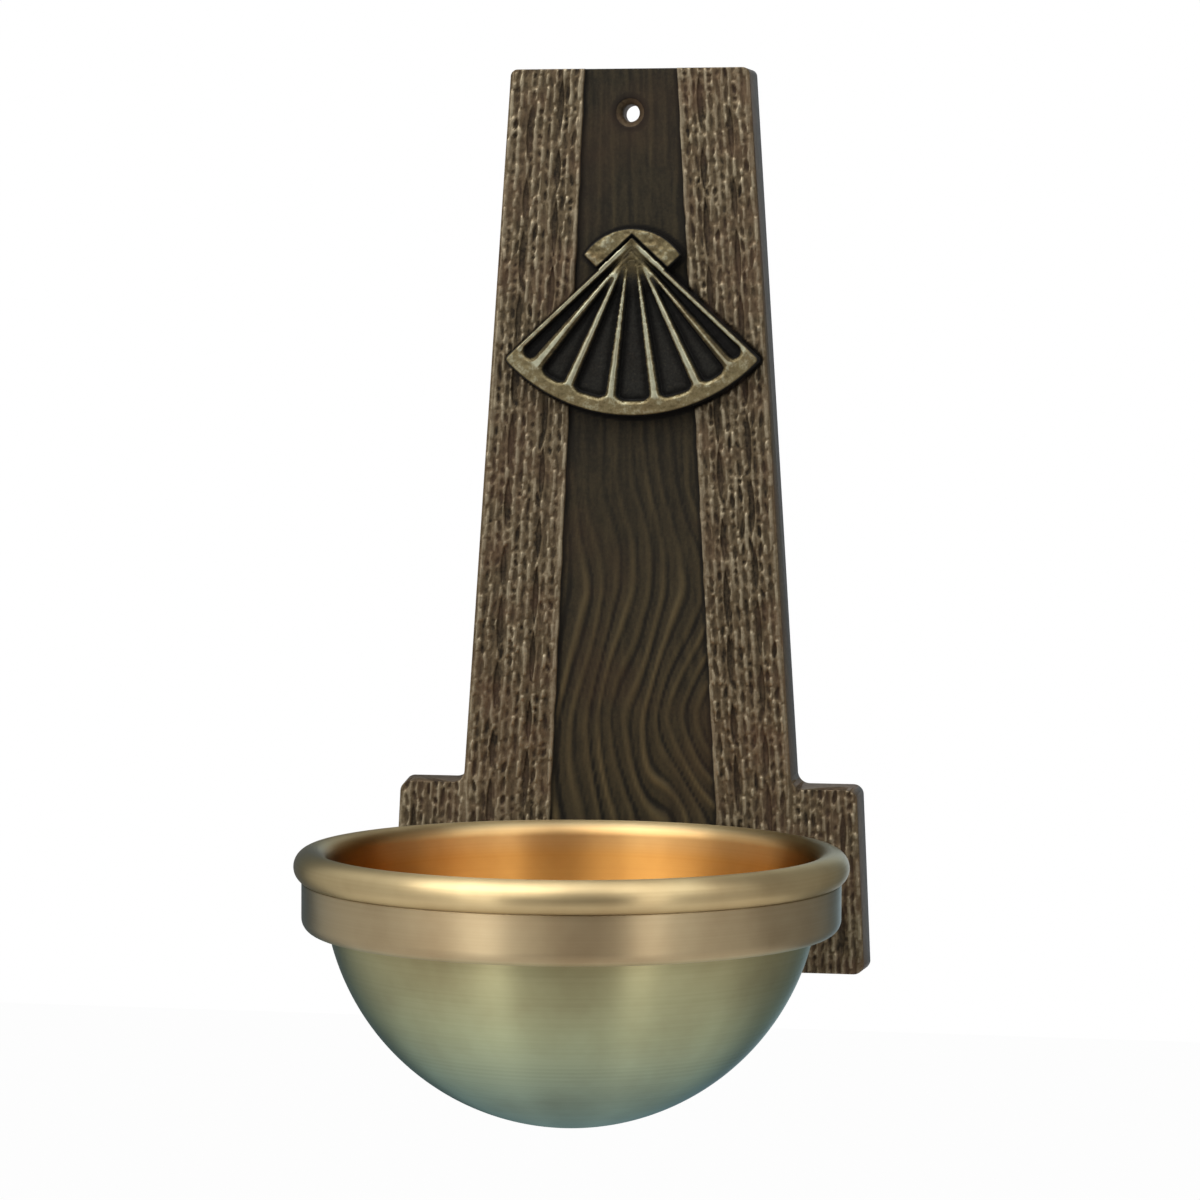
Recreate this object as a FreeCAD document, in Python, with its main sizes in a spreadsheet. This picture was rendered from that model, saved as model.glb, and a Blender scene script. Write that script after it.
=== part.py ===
"""Holy water stoup for a wall: cast back plate with a scallop shell, and a turned bowl with a lift-out liner.

Millimetres. +Z up, the wall is the plane Y = 0 and the front looks along -Y. The origin is the centre of
the upper wall screw hole, on the wall.
"""
import FreeCAD, Part
import math
import os
import Sketcher

DOCUMENT = FreeCAD.newDocument("Stoup")
SHEET = DOCUMENT.addObject("Spreadsheet::Sheet", "Dims")

# Driving dimensions: alias, value, what it is.
DIMENSIONS = [
    ("plate_height", 278.5, "back plate, bottom edge to top edge"),
    ("hole_drop", 13.5, "upper wall screw hole below the top edge"),
    ("top_half", 37.1, "half width of the upright at its top, front face"),
    ("neck_half", 51.6, "half width of the upright where it meets the arms"),
    ("arm_half", 71.8, "half width across the arms at their top, front face"),
    ("foot_half", 74.6, "half width across the arms at their foot, front face"),
    ("arm_height", 56.8, "height of the arms"),
    ("plate_depth", 12.0, "wall to the front of the bark bands"),
    ("draft", 0.9, "each side is this much wider at the wall"),
    ("arm_draft", 1.0, "arm tops are this much higher at the wall"),
    ("neck_round", 3.8, "inner corner between upright and arm"),
    ("corner_round", 2.2, "top corners of the plate"),
    ("arm_round", 3.2, "outer corners of the arms"),
    ("front_round", 0.9, "edge round the front of the plate"),
    ("channel_depth", 1.5, "channel below the bands"),
    ("channel_left_top", 13.8, "channel edge left of centre, at the top"),
    ("channel_right_top", 14.6, "channel edge right of centre, at the top"),
    ("channel_left_foot", 26.0, "channel edge left of centre, at the foot"),
    ("channel_right_foot", 30.8, "channel edge right of centre, at the foot"),
    ("fissure_wide", 1.6, "bark fissures, width at their middle"),
    ("fissure_depth", 1.1, "bark fissures, depth below the bands"),
    ("arm_fissure", 4.0, "fissures of the arms, from the arm's end"),
    ("hollow_depth", 7.0, "depth of the hollow back"),
    ("rim_wall", 4.5, "width of the rim round the hollow"),
    ("rib_width", 3.0, "cross ribs in the hollow"),
    ("rib_short", 1.5, "ribs stop this far from the wall"),
    ("boss_radius", 10.0, "bosses behind the wall screw holes"),
    ("wall_hole", 5.5, "wall screw hole diameter"),
    ("sink_hole", 10.0, "countersink diameter"),
    ("arm_hole_across", 58.0, "lower wall screw holes, from the centre"),
    ("arm_hole_up", 28.0, "lower wall screw holes, above the bottom edge"),
    ("shell_shift", 1.8, "shell centre line, right of the plate's"),
    ("shell_drop", 38.8, "point of the fan below the upper screw hole"),
    ("shell_depth", 5.0, "thickness of the shell"),
    ("fan_radius", 54.7, "fan, from its point to the bottom edge"),
    ("fan_angle", 47.2, "fan, half angle"),
    ("fan_corner", 1.6, "fan, rounding of its two lower corners"),
    ("flute_reach", 50.2, "flutes end this far from the fan's point"),
    ("flute_corner", 2.4, "round corners at the foot of the flutes"),
    ("flute_depth", 3.2, "flutes below the ribs"),
    ("groove_drop", 2.75, "bend of the angled groove below the fan's point"),
    ("groove_angle", 44.8, "arms of the angled groove, from the centre line"),
    ("groove_length", 45.0, "arms of the angled groove, bend to the middle of their round ends"),
    ("groove_top", 0.55, "half width of the angled groove at its bend"),
    ("groove_end", 2.3, "half width of the angled groove at its ends"),
    ("ear_half", 15.4, "arch above the fan, half width"),
    ("ear_top", 3.1, "arch above the fan's point"),
    ("ear_side", 5.2, "tips of the arch below the point"),
    ("ear_foot", 10.2, "foot of the arch below the point"),
    ("ear_foot_half", 10.6, "half width of the arch at its foot"),
    ("ear_lower", 0.8, "arch stands this much below the fan's face"),
    ("stud_radius", 2.0, "shell studs"),
    ("stud_reach", 9.8, "studs, behind the shell's back"),
    ("stud_low", 42.0, "lower stud below the fan's point"),
    ("stud_high", 18.0, "upper stud below the fan's point"),
    ("stud_room", 0.2, "stud clearance in the plate"),
    ("bowl_reach", 102.0, "wall to the bowl's axis"),
    ("seat_drop", 226.5, "liner's seat below the upper screw hole"),
    ("rim_radius", 80.0, "outside of the bead"),
    ("bead_radius", 4.9, "bead section"),
    ("bead_rise", 4.3, "bead centre above the seat"),
    ("band_radius", 77.7, "outside of the band"),
    ("band_height", 14.4, "band, seat to ledge"),
    ("band_corner", 4.0, "round under the band"),
    ("bowl_radius", 71.5, "outside of the round bowl"),
    ("bowl_centre", 0.5, "centre of the round bowl above the seat"),
    ("bowl_wall", 1.6, "outer bowl's wall"),
    ("liner_gap", 0.4, "room between bowl and liner"),
    ("liner_wall", 1.2, "liner's wall"),
    ("flare_start", 16.5, "liner's wall opens out from this far below the seat"),
    ("register_room", 0.3, "locating ring inside the band"),
    ("register_depth", 2.0, "locating ring below the seat"),
    ("bracket_half", 22.0, "half width of the bracket"),
    ("bracket_top", 2.0, "top of the bracket below the seat"),
    ("bracket_foot", 33.0, "foot of the bracket below the seat"),
    ("lip_reach", 64.0, "tip of the bracket's lip, from the bowl's axis"),
    ("lip_under", 21.5, "underside of the lip below the seat"),
    ("base_thick", 5.0, "thickness of the bracket's base"),
    ("bracket_room", 0.3, "bracket to the round of the bowl"),
    ("bracket_round", 2.5, "corners of the bracket"),
    ("fixing_high", 8.0, "upper bracket screw below the seat"),
    ("fixing_low", 26.0, "lower bracket screw below the seat"),
    ("fixing_radius", 2.5, "bracket screws"),
    ("fixing_room", 0.25, "bracket screw clearance in the plate"),
    ("fixing_grip", 9.0, "bracket screws reach into the bracket"),
    ("fixing_head", 4.6, "bracket screw head radius"),
    ("fixing_head_edge", 3.4, "bracket screw head, radius of its flat top"),
    ("fixing_head_high", 3.2, "bracket screw head height"),
    ("thread_room", 0.05, "screws in their threaded holes"),
    ("thread_spare", 1.0, "threaded holes are deeper than the screws"),
    ("fixing_washer", 5.0, "bracket washer radius"),
    ("washer_thick", 1.0, "steel washers"),
    ("nut_flats", 7.0, "nut across its flats"),
    ("nut_thick", 3.2, "nut thickness"),
    ("stud_washer", 4.5, "stud washer radius"),
    ("holder_turn", 20.0, "angle between the two bowl screws"),
    ("holder_drop", 6.5, "bowl screws below the seat"),
    ("holder_radius", 2.0, "bowl screws"),
    ("holder_room", 0.2, "bowl screw clearance in the band"),
    ("holder_head", 3.3, "bowl screw head radius"),
    ("holder_head_edge", 2.6, "bowl screw head, radius of its flat top"),
    ("holder_head_high", 2.2, "bowl screw head height"),
    ("holder_washer", 3.5, "sealing washer radius"),
    ("holder_washer_face", 75.1, "flat face of the sealing washer, from the bowl's axis"),
    ("holder_reach", 87.0, "tip of the bowl screws, from the bowl's axis"),
]

# Flutes of the shell, one in the middle and two on either side. Distances run from the fan's point, and
# angles from the centre line: start, angle and half width there, then angle and half angle at the foot.
FLUTES = [
    ("flute_a", 8.0, 0.0, 1.1, 0.0, 6.2),
    ("flute_b", 9.5, 15.5, 0.4, 16.1, 6.15),
    ("flute_c", 14.0, 27.0, 0.4, 30.8, 4.8),
]
RIB_HEIGHTS = [("rib_low", 66.0), ("rib_middle", 140.0), ("rib_high", 232.0)]

# Fissures of one bark column: middle below the top edge, length. The group repeats down the plate.
FISSURES = [(11.0, 15.0), (31.0, 12.0), (49.0, 17.0)]
FISSURE_REPEAT = 57.0
# Columns of each band: share of the way from the channel to the side, and how far the group starts lower.
FISSURE_COLUMNS = [(0.3, 0.0), (0.7, 9.0)]
# Fissures at the end of each arm: middle above the bottom edge, length.
ARM_FISSURES = [(13.0, 15.0), (43.0, 13.0)]

CUT_MARGIN = 3.0
OVERLAP = 0.5
NEAR = 0.1


class Size:
    """A dimension that carries its number together with the sheet formula it comes from."""

    def __init__(self, formula, number):
        self.formula = formula
        self.number = number

    def __add__(self, other):
        other = as_size(other)
        return Size("(%s + %s)" % (self.formula, other.formula), self.number + other.number)

    def __sub__(self, other):
        other = as_size(other)
        return Size("(%s - %s)" % (self.formula, other.formula), self.number - other.number)

    def __mul__(self, other):
        other = as_size(other)
        return Size("(%s * %s)" % (self.formula, other.formula), self.number * other.number)

    def __truediv__(self, other):
        other = as_size(other)
        return Size("(%s / %s)" % (self.formula, other.formula), self.number / other.number)

    def __neg__(self):
        return Size("(0 - %s)" % self.formula, -self.number)


def as_size(value):
    """A plain number becomes a Size, and a Size stays one."""
    if isinstance(value, Size):
        return value
    return Size("%g" % value, float(value))


def root(size):
    return Size("sqrt(%s)" % size.formula, math.sqrt(size.number))


def sine(angle):
    return Size("sin(%s * 1deg)" % angle.formula, math.sin(math.radians(angle.number)))


def cosine(angle):
    return Size("cos(%s * 1deg)" % angle.formula, math.cos(math.radians(angle.number)))


def other_side(long_side, short_side):
    """Third side of a right-angled triangle."""
    return root(long_side * long_side - short_side * short_side)


def fill_sheet():
    """Writes every driving dimension into the sheet and returns them as Sizes by name."""
    rows = list(DIMENSIONS)
    for name, start, angle, half, foot_angle, foot_half in FLUTES:
        rows.append((name + "_start", start, "flute, where it starts"))
        rows.append((name + "_angle", angle, "flute, angle at its start"))
        rows.append((name + "_half", half, "flute, half width at its start"))
        rows.append((name + "_foot_angle", foot_angle, "flute, angle at its foot"))
        rows.append((name + "_foot_half", foot_half, "flute, half angle at its foot"))
    for name, height in RIB_HEIGHTS:
        rows.append((name, height, "cross rib above the bottom edge"))
    sizes = {}
    for row, (name, number, meaning) in enumerate(rows, start=1):
        SHEET.set("A%d" % row, meaning)
        SHEET.set("B%d" % row, str(number))
        SHEET.setAlias("B%d" % row, name)
        sizes[name] = Size("Dims.%s" % name, number)
    DOCUMENT.recompute()
    return sizes


D = fill_sheet()
ZERO = as_size(0)


def bind(thing, path, size):
    thing.setExpression(path, size.formula)


def new_body(label, across=ZERO, deep=ZERO, high=ZERO):
    """A sub-part of its own, placed at its reference point."""
    body = DOCUMENT.addObject("PartDesign::Body", label)
    body.Label = label
    body.AllowCompound = True
    body.Placement = FreeCAD.Placement(
        FreeCAD.Vector(across.number, deep.number, high.number), FreeCAD.Rotation()
    )
    for letter, size in (("x", across), ("y", deep), ("z", high)):
        bind(body, "Placement.Base." + letter, size)
    return body


def origin_part(body, role):
    for feature in body.Origin.OriginFeatures:
        if feature.Role == role:
            return feature
    raise ValueError(role)


def new_sketch(body, name, role, lift=None):
    sketch = body.newObject("Sketcher::SketchObject", name)
    sketch.AttachmentSupport = (origin_part(body, role), [""])
    sketch.MapMode = "FlatFace"
    if lift is not None:
        sketch.AttachmentOffset = FreeCAD.Placement(
            FreeCAD.Vector(0, 0, lift.number), FreeCAD.Rotation()
        )
        bind(sketch, "AttachmentOffset.Base.z", lift)
    return sketch


def constrain(sketch, size, *arguments):
    index = sketch.addConstraint(Sketcher.Constraint(*arguments, size.number))
    bind(sketch, "Constraints[%d]" % index, size)


def arc_between(start, end, radius):
    """Arc of less than half a turn. A positive radius bulges to the right of the way from start to end."""
    chord = end.sub(start)
    middle = (start + end) * 0.5
    left = FreeCAD.Vector(-chord.y, chord.x, 0).normalize()
    half = chord.Length / 2
    height = math.sqrt(max(radius * radius - half * half, 0.0))
    centre = middle + left * math.copysign(height, radius)
    circle = Part.Circle(centre, FreeCAD.Vector(0, 0, 1), abs(radius))
    first = math.atan2(start.y - centre.y, start.x - centre.x)
    last = math.atan2(end.y - centre.y, end.x - centre.x)
    if radius > 0:
        return Part.ArcOfCircle(circle, first, last), False
    return Part.ArcOfCircle(circle, last, first), True


def add_outline(sketch, corners):
    """Closed outline. A corner is (across, up), or (across, up, radius) where an arc leads on from it."""
    points = [FreeCAD.Vector(as_size(c[0]).number, as_size(c[1]).number, 0) for c in corners]
    starts = []
    ends = []
    for index, corner in enumerate(corners):
        start = points[index]
        end = points[(index + 1) % len(points)]
        if len(corner) == 2:
            edge = sketch.addGeometry(Part.LineSegment(start, end), False)
            backwards = False
        else:
            radius = as_size(corner[2])
            arc, backwards = arc_between(start, end, radius.number)
            edge = sketch.addGeometry(arc, False)
            size = radius if radius.number > 0 else -radius
            constrain(sketch, size, "Radius", edge)
        starts.append((edge, 2 if backwards else 1))
        ends.append((edge, 1 if backwards else 2))
    for index, corner in enumerate(corners):
        following = starts[(index + 1) % len(corners)]
        sketch.addConstraint(Sketcher.Constraint("Coincident", *ends[index], *following))
        constrain(sketch, as_size(corner[0]), "DistanceX", -1, 1, *starts[index])
        constrain(sketch, as_size(corner[1]), "DistanceY", -1, 1, *starts[index])


def add_circle(sketch, across, up, radius):
    across = as_size(across)
    up = as_size(up)
    centre = FreeCAD.Vector(across.number, up.number, 0)
    edge = sketch.addGeometry(Part.Circle(centre, FreeCAD.Vector(0, 0, 1), radius.number), False)
    constrain(sketch, across, "DistanceX", -1, 1, edge, 3)
    constrain(sketch, up, "DistanceY", -1, 1, edge, 3)
    constrain(sketch, radius, "Radius", edge)


def extrude(body, kind, name, sketch, length, flipped=False, middle=False):
    """Pad or Pocket. A pocket has to take volume away and a pad has to add some."""
    before = body.Shape.Volume if body.Tip else 0.0
    feature = body.newObject("PartDesign::" + kind, name)
    feature.Profile = sketch
    feature.Length = length.number
    bind(feature, "Length", length)
    feature.Reversed = flipped
    if middle:
        feature.SideType = "Symmetric"
    DOCUMENT.recompute()
    change = body.Shape.Volume - before
    if (kind == "Pad") != (change > 0):
        raise RuntimeError("%s of %s changed nothing" % (name, body.Label))
    return feature


def turn(body, kind, name, sketch, axis=("V_Axis",)):
    """Revolution or Groove right round an axis of its sketch."""
    feature = body.newObject("PartDesign::" + kind, name)
    feature.Profile = sketch
    feature.ReferenceAxis = (sketch, list(axis))
    feature.Angle = 360.0
    DOCUMENT.recompute()
    return feature


def dress(body, kind, name, base, edges, size):
    """Fillet or Chamfer on named edges of a feature."""
    feature = body.newObject("PartDesign::" + kind, name)
    feature.Base = (base, edges)
    path = "Radius" if kind == "Fillet" else "Size"
    setattr(feature, path, size.number)
    bind(feature, path, size)
    DOCUMENT.recompute()
    return feature


def find_edges(feature, test):
    """Names of the edges for which test(first vertex, last vertex) holds."""
    names = []
    for index, edge in enumerate(feature.Shape.Edges, start=1):
        ends = [vertex.Point for vertex in edge.Vertexes]
        if len(ends) == 2 and test(ends[0], ends[1]):
            names.append("Edge%d" % index)
    return names


# Heights measured from the upper screw hole.
PLATE_TOP = D["hole_drop"]
PLATE_FOOT = D["hole_drop"] - D["plate_height"]
ARM_TOP = PLATE_FOOT + D["arm_height"]
SIDE_SLOPE = (D["neck_half"] - D["top_half"]) / (D["plate_height"] - D["arm_height"])
FLOOR_LIFT = D["plate_depth"] - D["channel_depth"]
FAN_POINT = -D["shell_drop"]


def half_width(height):
    """Half width of the upright's front at a height."""
    return D["top_half"] + (PLATE_TOP - height) * SIDE_SLOPE


def plate_outline(sides, tops):
    """Upright with arms, made wider by sides and higher by tops."""
    top = D["top_half"] + sides
    neck = D["neck_half"] + sides
    arm = D["arm_half"] + sides
    foot = D["foot_half"] + sides
    return [
        (-top, PLATE_TOP),
        (-neck, ARM_TOP + tops),
        (-arm, ARM_TOP + tops),
        (-foot, PLATE_FOOT),
        (foot, PLATE_FOOT),
        (arm, ARM_TOP + tops),
        (neck, ARM_TOP + tops),
        (top, PLATE_TOP),
    ]


def channel_edge(side, height):
    """Across position of the channel's left (-1) or right (1) edge at a height."""
    name = "channel_left" if side < 0 else "channel_right"
    spread = (D[name + "_foot"] - D[name + "_top"]) / D["plate_height"]
    return (D[name + "_top"] + (PLATE_TOP - height) * spread) * side


def cut_fissures(body):
    """Spindle-shaped fissures of the bark, in columns down both bands and one at the end of each arm."""
    for side, label in ((-1, "left"), (1, "right")):
        for number, (share, lower) in enumerate(FISSURE_COLUMNS):
            def column(height, side=side, share=share):
                inner = channel_edge(side, height)
                return inner + (half_width(height) * side - inner) * share

            repeats = int(D["plate_height"].number / FISSURE_REPEAT) + 1
            spots = [(PLATE_TOP - (middle + lower + FISSURE_REPEAT * step), length)
                     for step in range(repeats) for middle, length in FISSURES]
            cut_column(body, "fissures_%s_%d" % (label, number), column, spots)
        spots = [(PLATE_FOOT + middle, length) for middle, length in ARM_FISSURES]
        arm = (D["arm_half"] - D["arm_fissure"]) * side
        cut_column(body, "fissures_%s_arm" % label, lambda height, arm=arm: arm, spots)


def cut_column(body, name, column, spots):
    """One column of fissures, each a spindle of two arcs. Those that would reach the foot are left out."""
    sketch = new_sketch(body, name, "XZ_Plane", D["plate_depth"])
    wide = D["fissure_wide"]
    for middle, length in spots:
        half = as_size(length / 2)
        if (middle - half - CUT_MARGIN).number < PLATE_FOOT.number:
            continue
        radius = (half * half + wide * wide / 4) / wide
        low = middle - half
        high = middle + half
        add_outline(sketch, [(column(low), low, radius), (column(high), high, radius)])
    extrude(body, "Pocket", name + "_cuts", sketch, D["fissure_depth"])


def wall_screw_hole(body, name, lift, spots):
    """Countersunk through hole for a wall screw, from the front."""
    sketch = new_sketch(body, name + "_spots", "XZ_Plane", lift)
    for across, up in spots:
        add_circle(sketch, across, up, D["wall_hole"] / 2)
    DOCUMENT.recompute()
    before = body.Shape.Volume
    hole = body.newObject("PartDesign::Hole", name)
    hole.Profile = sketch
    DOCUMENT.recompute()
    hole.Threaded = False
    hole.DepthType = "ThroughAll"
    hole.Diameter = D["wall_hole"].number
    bind(hole, "Diameter", D["wall_hole"])
    hole.HoleCutType = "Countersink"
    hole.HoleCutCustomValues = True
    hole.HoleCutDiameter = D["sink_hole"].number
    bind(hole, "HoleCutDiameter", D["sink_hole"])
    hole.HoleCutCountersinkAngle = 90.0
    DOCUMENT.recompute()
    if body.Shape.Volume >= before:
        raise RuntimeError(name + " cut nothing")


def make_back_plate():
    body = new_body("back_plate")
    back = new_sketch(body, "plate_back", "XZ_Plane")
    add_outline(back, plate_outline(D["draft"], D["arm_draft"]))
    front = new_sketch(body, "plate_front", "XZ_Plane", D["plate_depth"])
    add_outline(front, plate_outline(ZERO, ZERO))
    loft = body.newObject("PartDesign::AdditiveLoft", "casting")
    loft.Profile = back
    loft.Sections = [(front, [""])]
    loft.Ruled = True
    DOCUMENT.recompute()

    depth = D["plate_depth"].number
    neck = D["neck_half"].number + D["draft"].number
    above_arms = ARM_TOP.number + depth

    def runs_deep(a, b):
        return abs(abs(a.y - b.y) - depth) < NEAR

    def at_neck(a, b):
        return runs_deep(a, b) and a.z < above_arms and abs(a.x) <= neck + NEAR

    def at_arm_corner(a, b):
        return runs_deep(a, b) and a.z < above_arms and abs(a.x) > neck + D["neck_round"].number

    def at_top_corner(a, b):
        return runs_deep(a, b) and a.z > above_arms

    def round_front(a, b):
        return abs(a.y + depth) < NEAR and abs(b.y + depth) < NEAR

    necks = dress(body, "Fillet", "neck_rounds", loft, find_edges(loft, at_neck), D["neck_round"])
    arms = dress(body, "Fillet", "arm_rounds", necks, find_edges(necks, at_arm_corner), D["arm_round"])
    corners = dress(body, "Fillet", "corner_rounds", arms, find_edges(arms, at_top_corner), D["corner_round"])
    dress(body, "Fillet", "front_edge", corners, find_edges(corners, round_front), D["front_round"])

    channel = new_sketch(body, "channel_outline", "XZ_Plane", D["plate_depth"])
    beyond = as_size(CUT_MARGIN)
    add_outline(channel, [
        (-D["channel_left_top"], PLATE_TOP),
        (-D["channel_left_foot"], PLATE_FOOT),
        (-D["channel_left_foot"], PLATE_FOOT - beyond),
        (D["channel_right_foot"], PLATE_FOOT - beyond),
        (D["channel_right_foot"], PLATE_FOOT),
        (D["channel_right_top"], PLATE_TOP),
        (D["channel_right_top"], PLATE_TOP + beyond),
        (-D["channel_left_top"], PLATE_TOP + beyond),
    ])
    extrude(body, "Pocket", "channel", channel, D["channel_depth"])
    cut_fissures(body)

    hollow = new_sketch(body, "hollow_outline", "XZ_Plane")
    inset = D["rim_wall"]
    add_outline(hollow, [
        (-(D["top_half"] - inset), PLATE_TOP - inset),
        (-(D["neck_half"] - inset), ARM_TOP - inset),
        (-(D["arm_half"] - inset), ARM_TOP - inset),
        (-(D["foot_half"] - inset), PLATE_FOOT + inset),
        (D["foot_half"] - inset, PLATE_FOOT + inset),
        (D["arm_half"] - inset, ARM_TOP - inset),
        (D["neck_half"] - inset, ARM_TOP - inset),
        (D["top_half"] - inset, PLATE_TOP - inset),
    ])
    extrude(body, "Pocket", "hollow", hollow, D["hollow_depth"], flipped=True)

    ribs = new_sketch(body, "rib_outlines", "XZ_Plane", D["rib_short"])
    for name, _ in RIB_HEIGHTS:
        height = PLATE_FOOT + D[name]
        half = half_width(height) - inset / 2
        low = height - D["rib_width"] / 2
        high = height + D["rib_width"] / 2
        add_outline(ribs, [(-half, high), (-half, low), (half, low), (half, high)])
    extrude(body, "Pad", "ribs", ribs, D["hollow_depth"] - D["rib_short"] + OVERLAP)

    arm_holes = [(-D["arm_hole_across"], PLATE_FOOT + D["arm_hole_up"]),
                 (D["arm_hole_across"], PLATE_FOOT + D["arm_hole_up"])]
    bosses = new_sketch(body, "boss_outlines", "XZ_Plane")
    for across, up in [(ZERO, ZERO)] + arm_holes:
        add_circle(bosses, across, up, D["boss_radius"])
    extrude(body, "Pad", "bosses", bosses, D["hollow_depth"] + OVERLAP)

    wall_screw_hole(body, "upper_hole", FLOOR_LIFT, [(ZERO, ZERO)])
    wall_screw_hole(body, "arm_holes", D["plate_depth"], arm_holes)

    fixings = new_sketch(body, "fixing_holes", "XZ_Plane", D["plate_depth"])
    for drop in (D["stud_low"], D["stud_high"]):
        add_circle(fixings, D["shell_shift"], FAN_POINT - drop, D["stud_radius"] + D["stud_room"])
    for drop in (D["fixing_high"], D["fixing_low"]):
        add_circle(fixings, ZERO, -D["seat_drop"] - drop, D["fixing_radius"] + D["fixing_room"])
    extrude(body, "Pocket", "fixing_cuts", fixings, D["plate_depth"])
    return body


def fan_spot(angle, along, beside=ZERO):
    """Spot on a line down from the fan's point at an angle, or beside that line."""
    across = along * sine(angle) + beside * cosine(angle)
    down = along * cosine(angle) - beside * sine(angle)
    return (across, -down)


def flute_outline(name, side):
    """Flute that widens towards its foot, which follows the fan's border. Mirrored by side."""
    angle = D[name + "_angle"] * side
    half = D[name + "_half"]
    start = D[name + "_start"]
    foot_left = D[name + "_foot_angle"] * side - D[name + "_foot_half"]
    foot_right = D[name + "_foot_angle"] * side + D[name + "_foot_half"]
    reach = D["flute_reach"]
    corner = D["flute_corner"]
    turn_in = corner / reach * math.degrees(1)
    return [
        fan_spot(angle, start, -half),
        fan_spot(foot_left, reach - corner) + (corner,),
        fan_spot(foot_left + turn_in, reach) + (reach,),
        fan_spot(foot_right - turn_in, reach) + (corner,),
        fan_spot(foot_right, reach - corner),
        fan_spot(angle, start, half),
    ]


def groove_outline():
    """Angled groove that follows the fan's two straight sides, with round ends."""
    angle = D["groove_angle"]
    length = D["groove_length"]
    half = D["groove_end"]
    bend = D["groove_top"] / sine(angle)

    def lowered(spot):
        return (spot[0], spot[1] - D["groove_drop"])

    left = [lowered(fan_spot(-angle, along, beside)) for along, beside in
            ((length, -half), (length + half, ZERO), (length, half))]
    right = [lowered(fan_spot(angle, along, beside)) for along, beside in
             ((length, -half), (length + half, ZERO), (length, half))]
    return [
        (ZERO, bend - D["groove_drop"]),
        left[0] + (half,),
        left[1] + (half,),
        left[2],
        (ZERO, -bend - D["groove_drop"]),
        right[0] + (half,),
        right[1] + (half,),
        right[2],
    ]


def make_scallop_shell():
    """Fan and arch in one casting. Its reference point is the fan's point, on the plate's bands."""
    body = new_body("scallop_shell", D["shell_shift"], -D["plate_depth"], FAN_POINT)
    side = D["fan_radius"] * sine(D["fan_angle"])
    low = D["fan_radius"] * cosine(D["fan_angle"])
    fan = new_sketch(body, "fan_outline", "XZ_Plane")
    add_outline(fan, [
        (ZERO, ZERO),
        (-side, -low, D["fan_radius"]),
        (ZERO, -D["fan_radius"], D["fan_radius"]),
        (side, -low),
    ])
    pad = extrude(body, "Pad", "fan", fan, D["shell_depth"])

    def at_fan_corner(a, b):
        return abs(a.y - b.y) > NEAR and abs(a.x) > side.number - NEAR

    dress(body, "Fillet", "fan_corners", pad, find_edges(pad, at_fan_corner), D["fan_corner"])

    rise = D["ear_top"] + D["ear_side"]
    over = (D["ear_half"] * D["ear_half"] + rise * rise) / (rise * 2)
    arch = new_sketch(body, "arch_outline", "XZ_Plane")
    add_outline(arch, [
        (-D["ear_half"], -D["ear_side"]),
        (-D["ear_foot_half"], -D["ear_foot"]),
        (D["ear_foot_half"], -D["ear_foot"]),
        (D["ear_half"], -D["ear_side"], over),
        (ZERO, D["ear_top"], over),
    ])
    extrude(body, "Pad", "arch", arch, D["shell_depth"] - D["ear_lower"])

    flutes = new_sketch(body, "flute_outlines", "XZ_Plane", D["shell_depth"])
    add_outline(flutes, groove_outline())
    for flute in FLUTES:
        name = flute[0]
        add_outline(flutes, flute_outline(name, 1))
        if D[name + "_angle"].number > 0:
            add_outline(flutes, flute_outline(name, -1))
    extrude(body, "Pocket", "flutes", flutes, D["flute_depth"])

    studs = new_sketch(body, "stud_outlines", "XZ_Plane")
    for drop in (D["stud_low"], D["stud_high"]):
        add_circle(studs, ZERO, -drop, D["stud_radius"])
    extrude(body, "Pad", "studs", studs, D["stud_reach"], flipped=True)
    return body


def add_hexagon(sketch, flats):
    """Hexagon round the sketch's origin."""
    reach = flats / 2 / cosine(as_size(30))
    corners = []
    for step in range(6):
        turn_by = as_size(60 * step)
        corners.append((reach * cosine(turn_by), reach * sine(turn_by)))
    add_outline(sketch, corners)


def repeat_down(body, feature, distance):
    """A second copy of the feature, lower by the distance."""
    pattern = body.newObject("PartDesign::LinearPattern", feature.Name + "_pair")
    pattern.Originals = [feature]
    pattern.Direction = (origin_part(body, "Z_Axis"), [""])
    pattern.Reversed = True
    pattern.Length = distance.number
    bind(pattern, "Length", distance)
    pattern.Occurrences = 2
    body.Tip = pattern
    DOCUMENT.recompute()


def make_shell_fasteners():
    """Washers and nuts on the studs, in the hollow of the plate."""
    across = D["shell_shift"]
    high = FAN_POINT - D["stud_high"]
    gap = D["stud_low"] - D["stud_high"]
    bore = D["stud_radius"] + D["thread_room"]

    washers = new_body("shell_washers", across, -D["hollow_depth"], high)
    ring = new_sketch(washers, "stud_washer_outline", "XZ_Plane")
    add_circle(ring, ZERO, ZERO, D["stud_washer"])
    add_circle(ring, ZERO, ZERO, D["stud_radius"] + D["stud_room"])
    disc = extrude(washers, "Pad", "stud_disc", ring, D["washer_thick"], flipped=True)
    repeat_down(washers, disc, gap)

    nuts = new_body("shell_nuts", across, -D["hollow_depth"] + D["washer_thick"], high)
    outline = new_sketch(nuts, "nut_outline", "XZ_Plane")
    add_hexagon(outline, D["nut_flats"])
    add_circle(outline, ZERO, ZERO, bore)
    block = extrude(nuts, "Pad", "nut_block", outline, D["nut_thick"], flipped=True)
    repeat_down(nuts, block, gap)
    return [washers, nuts]


def sphere_side(radius, drop):
    """Radius of a round bowl's wall at a depth below the seat."""
    return other_side(radius, D["bowl_centre"] + drop)


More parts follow.
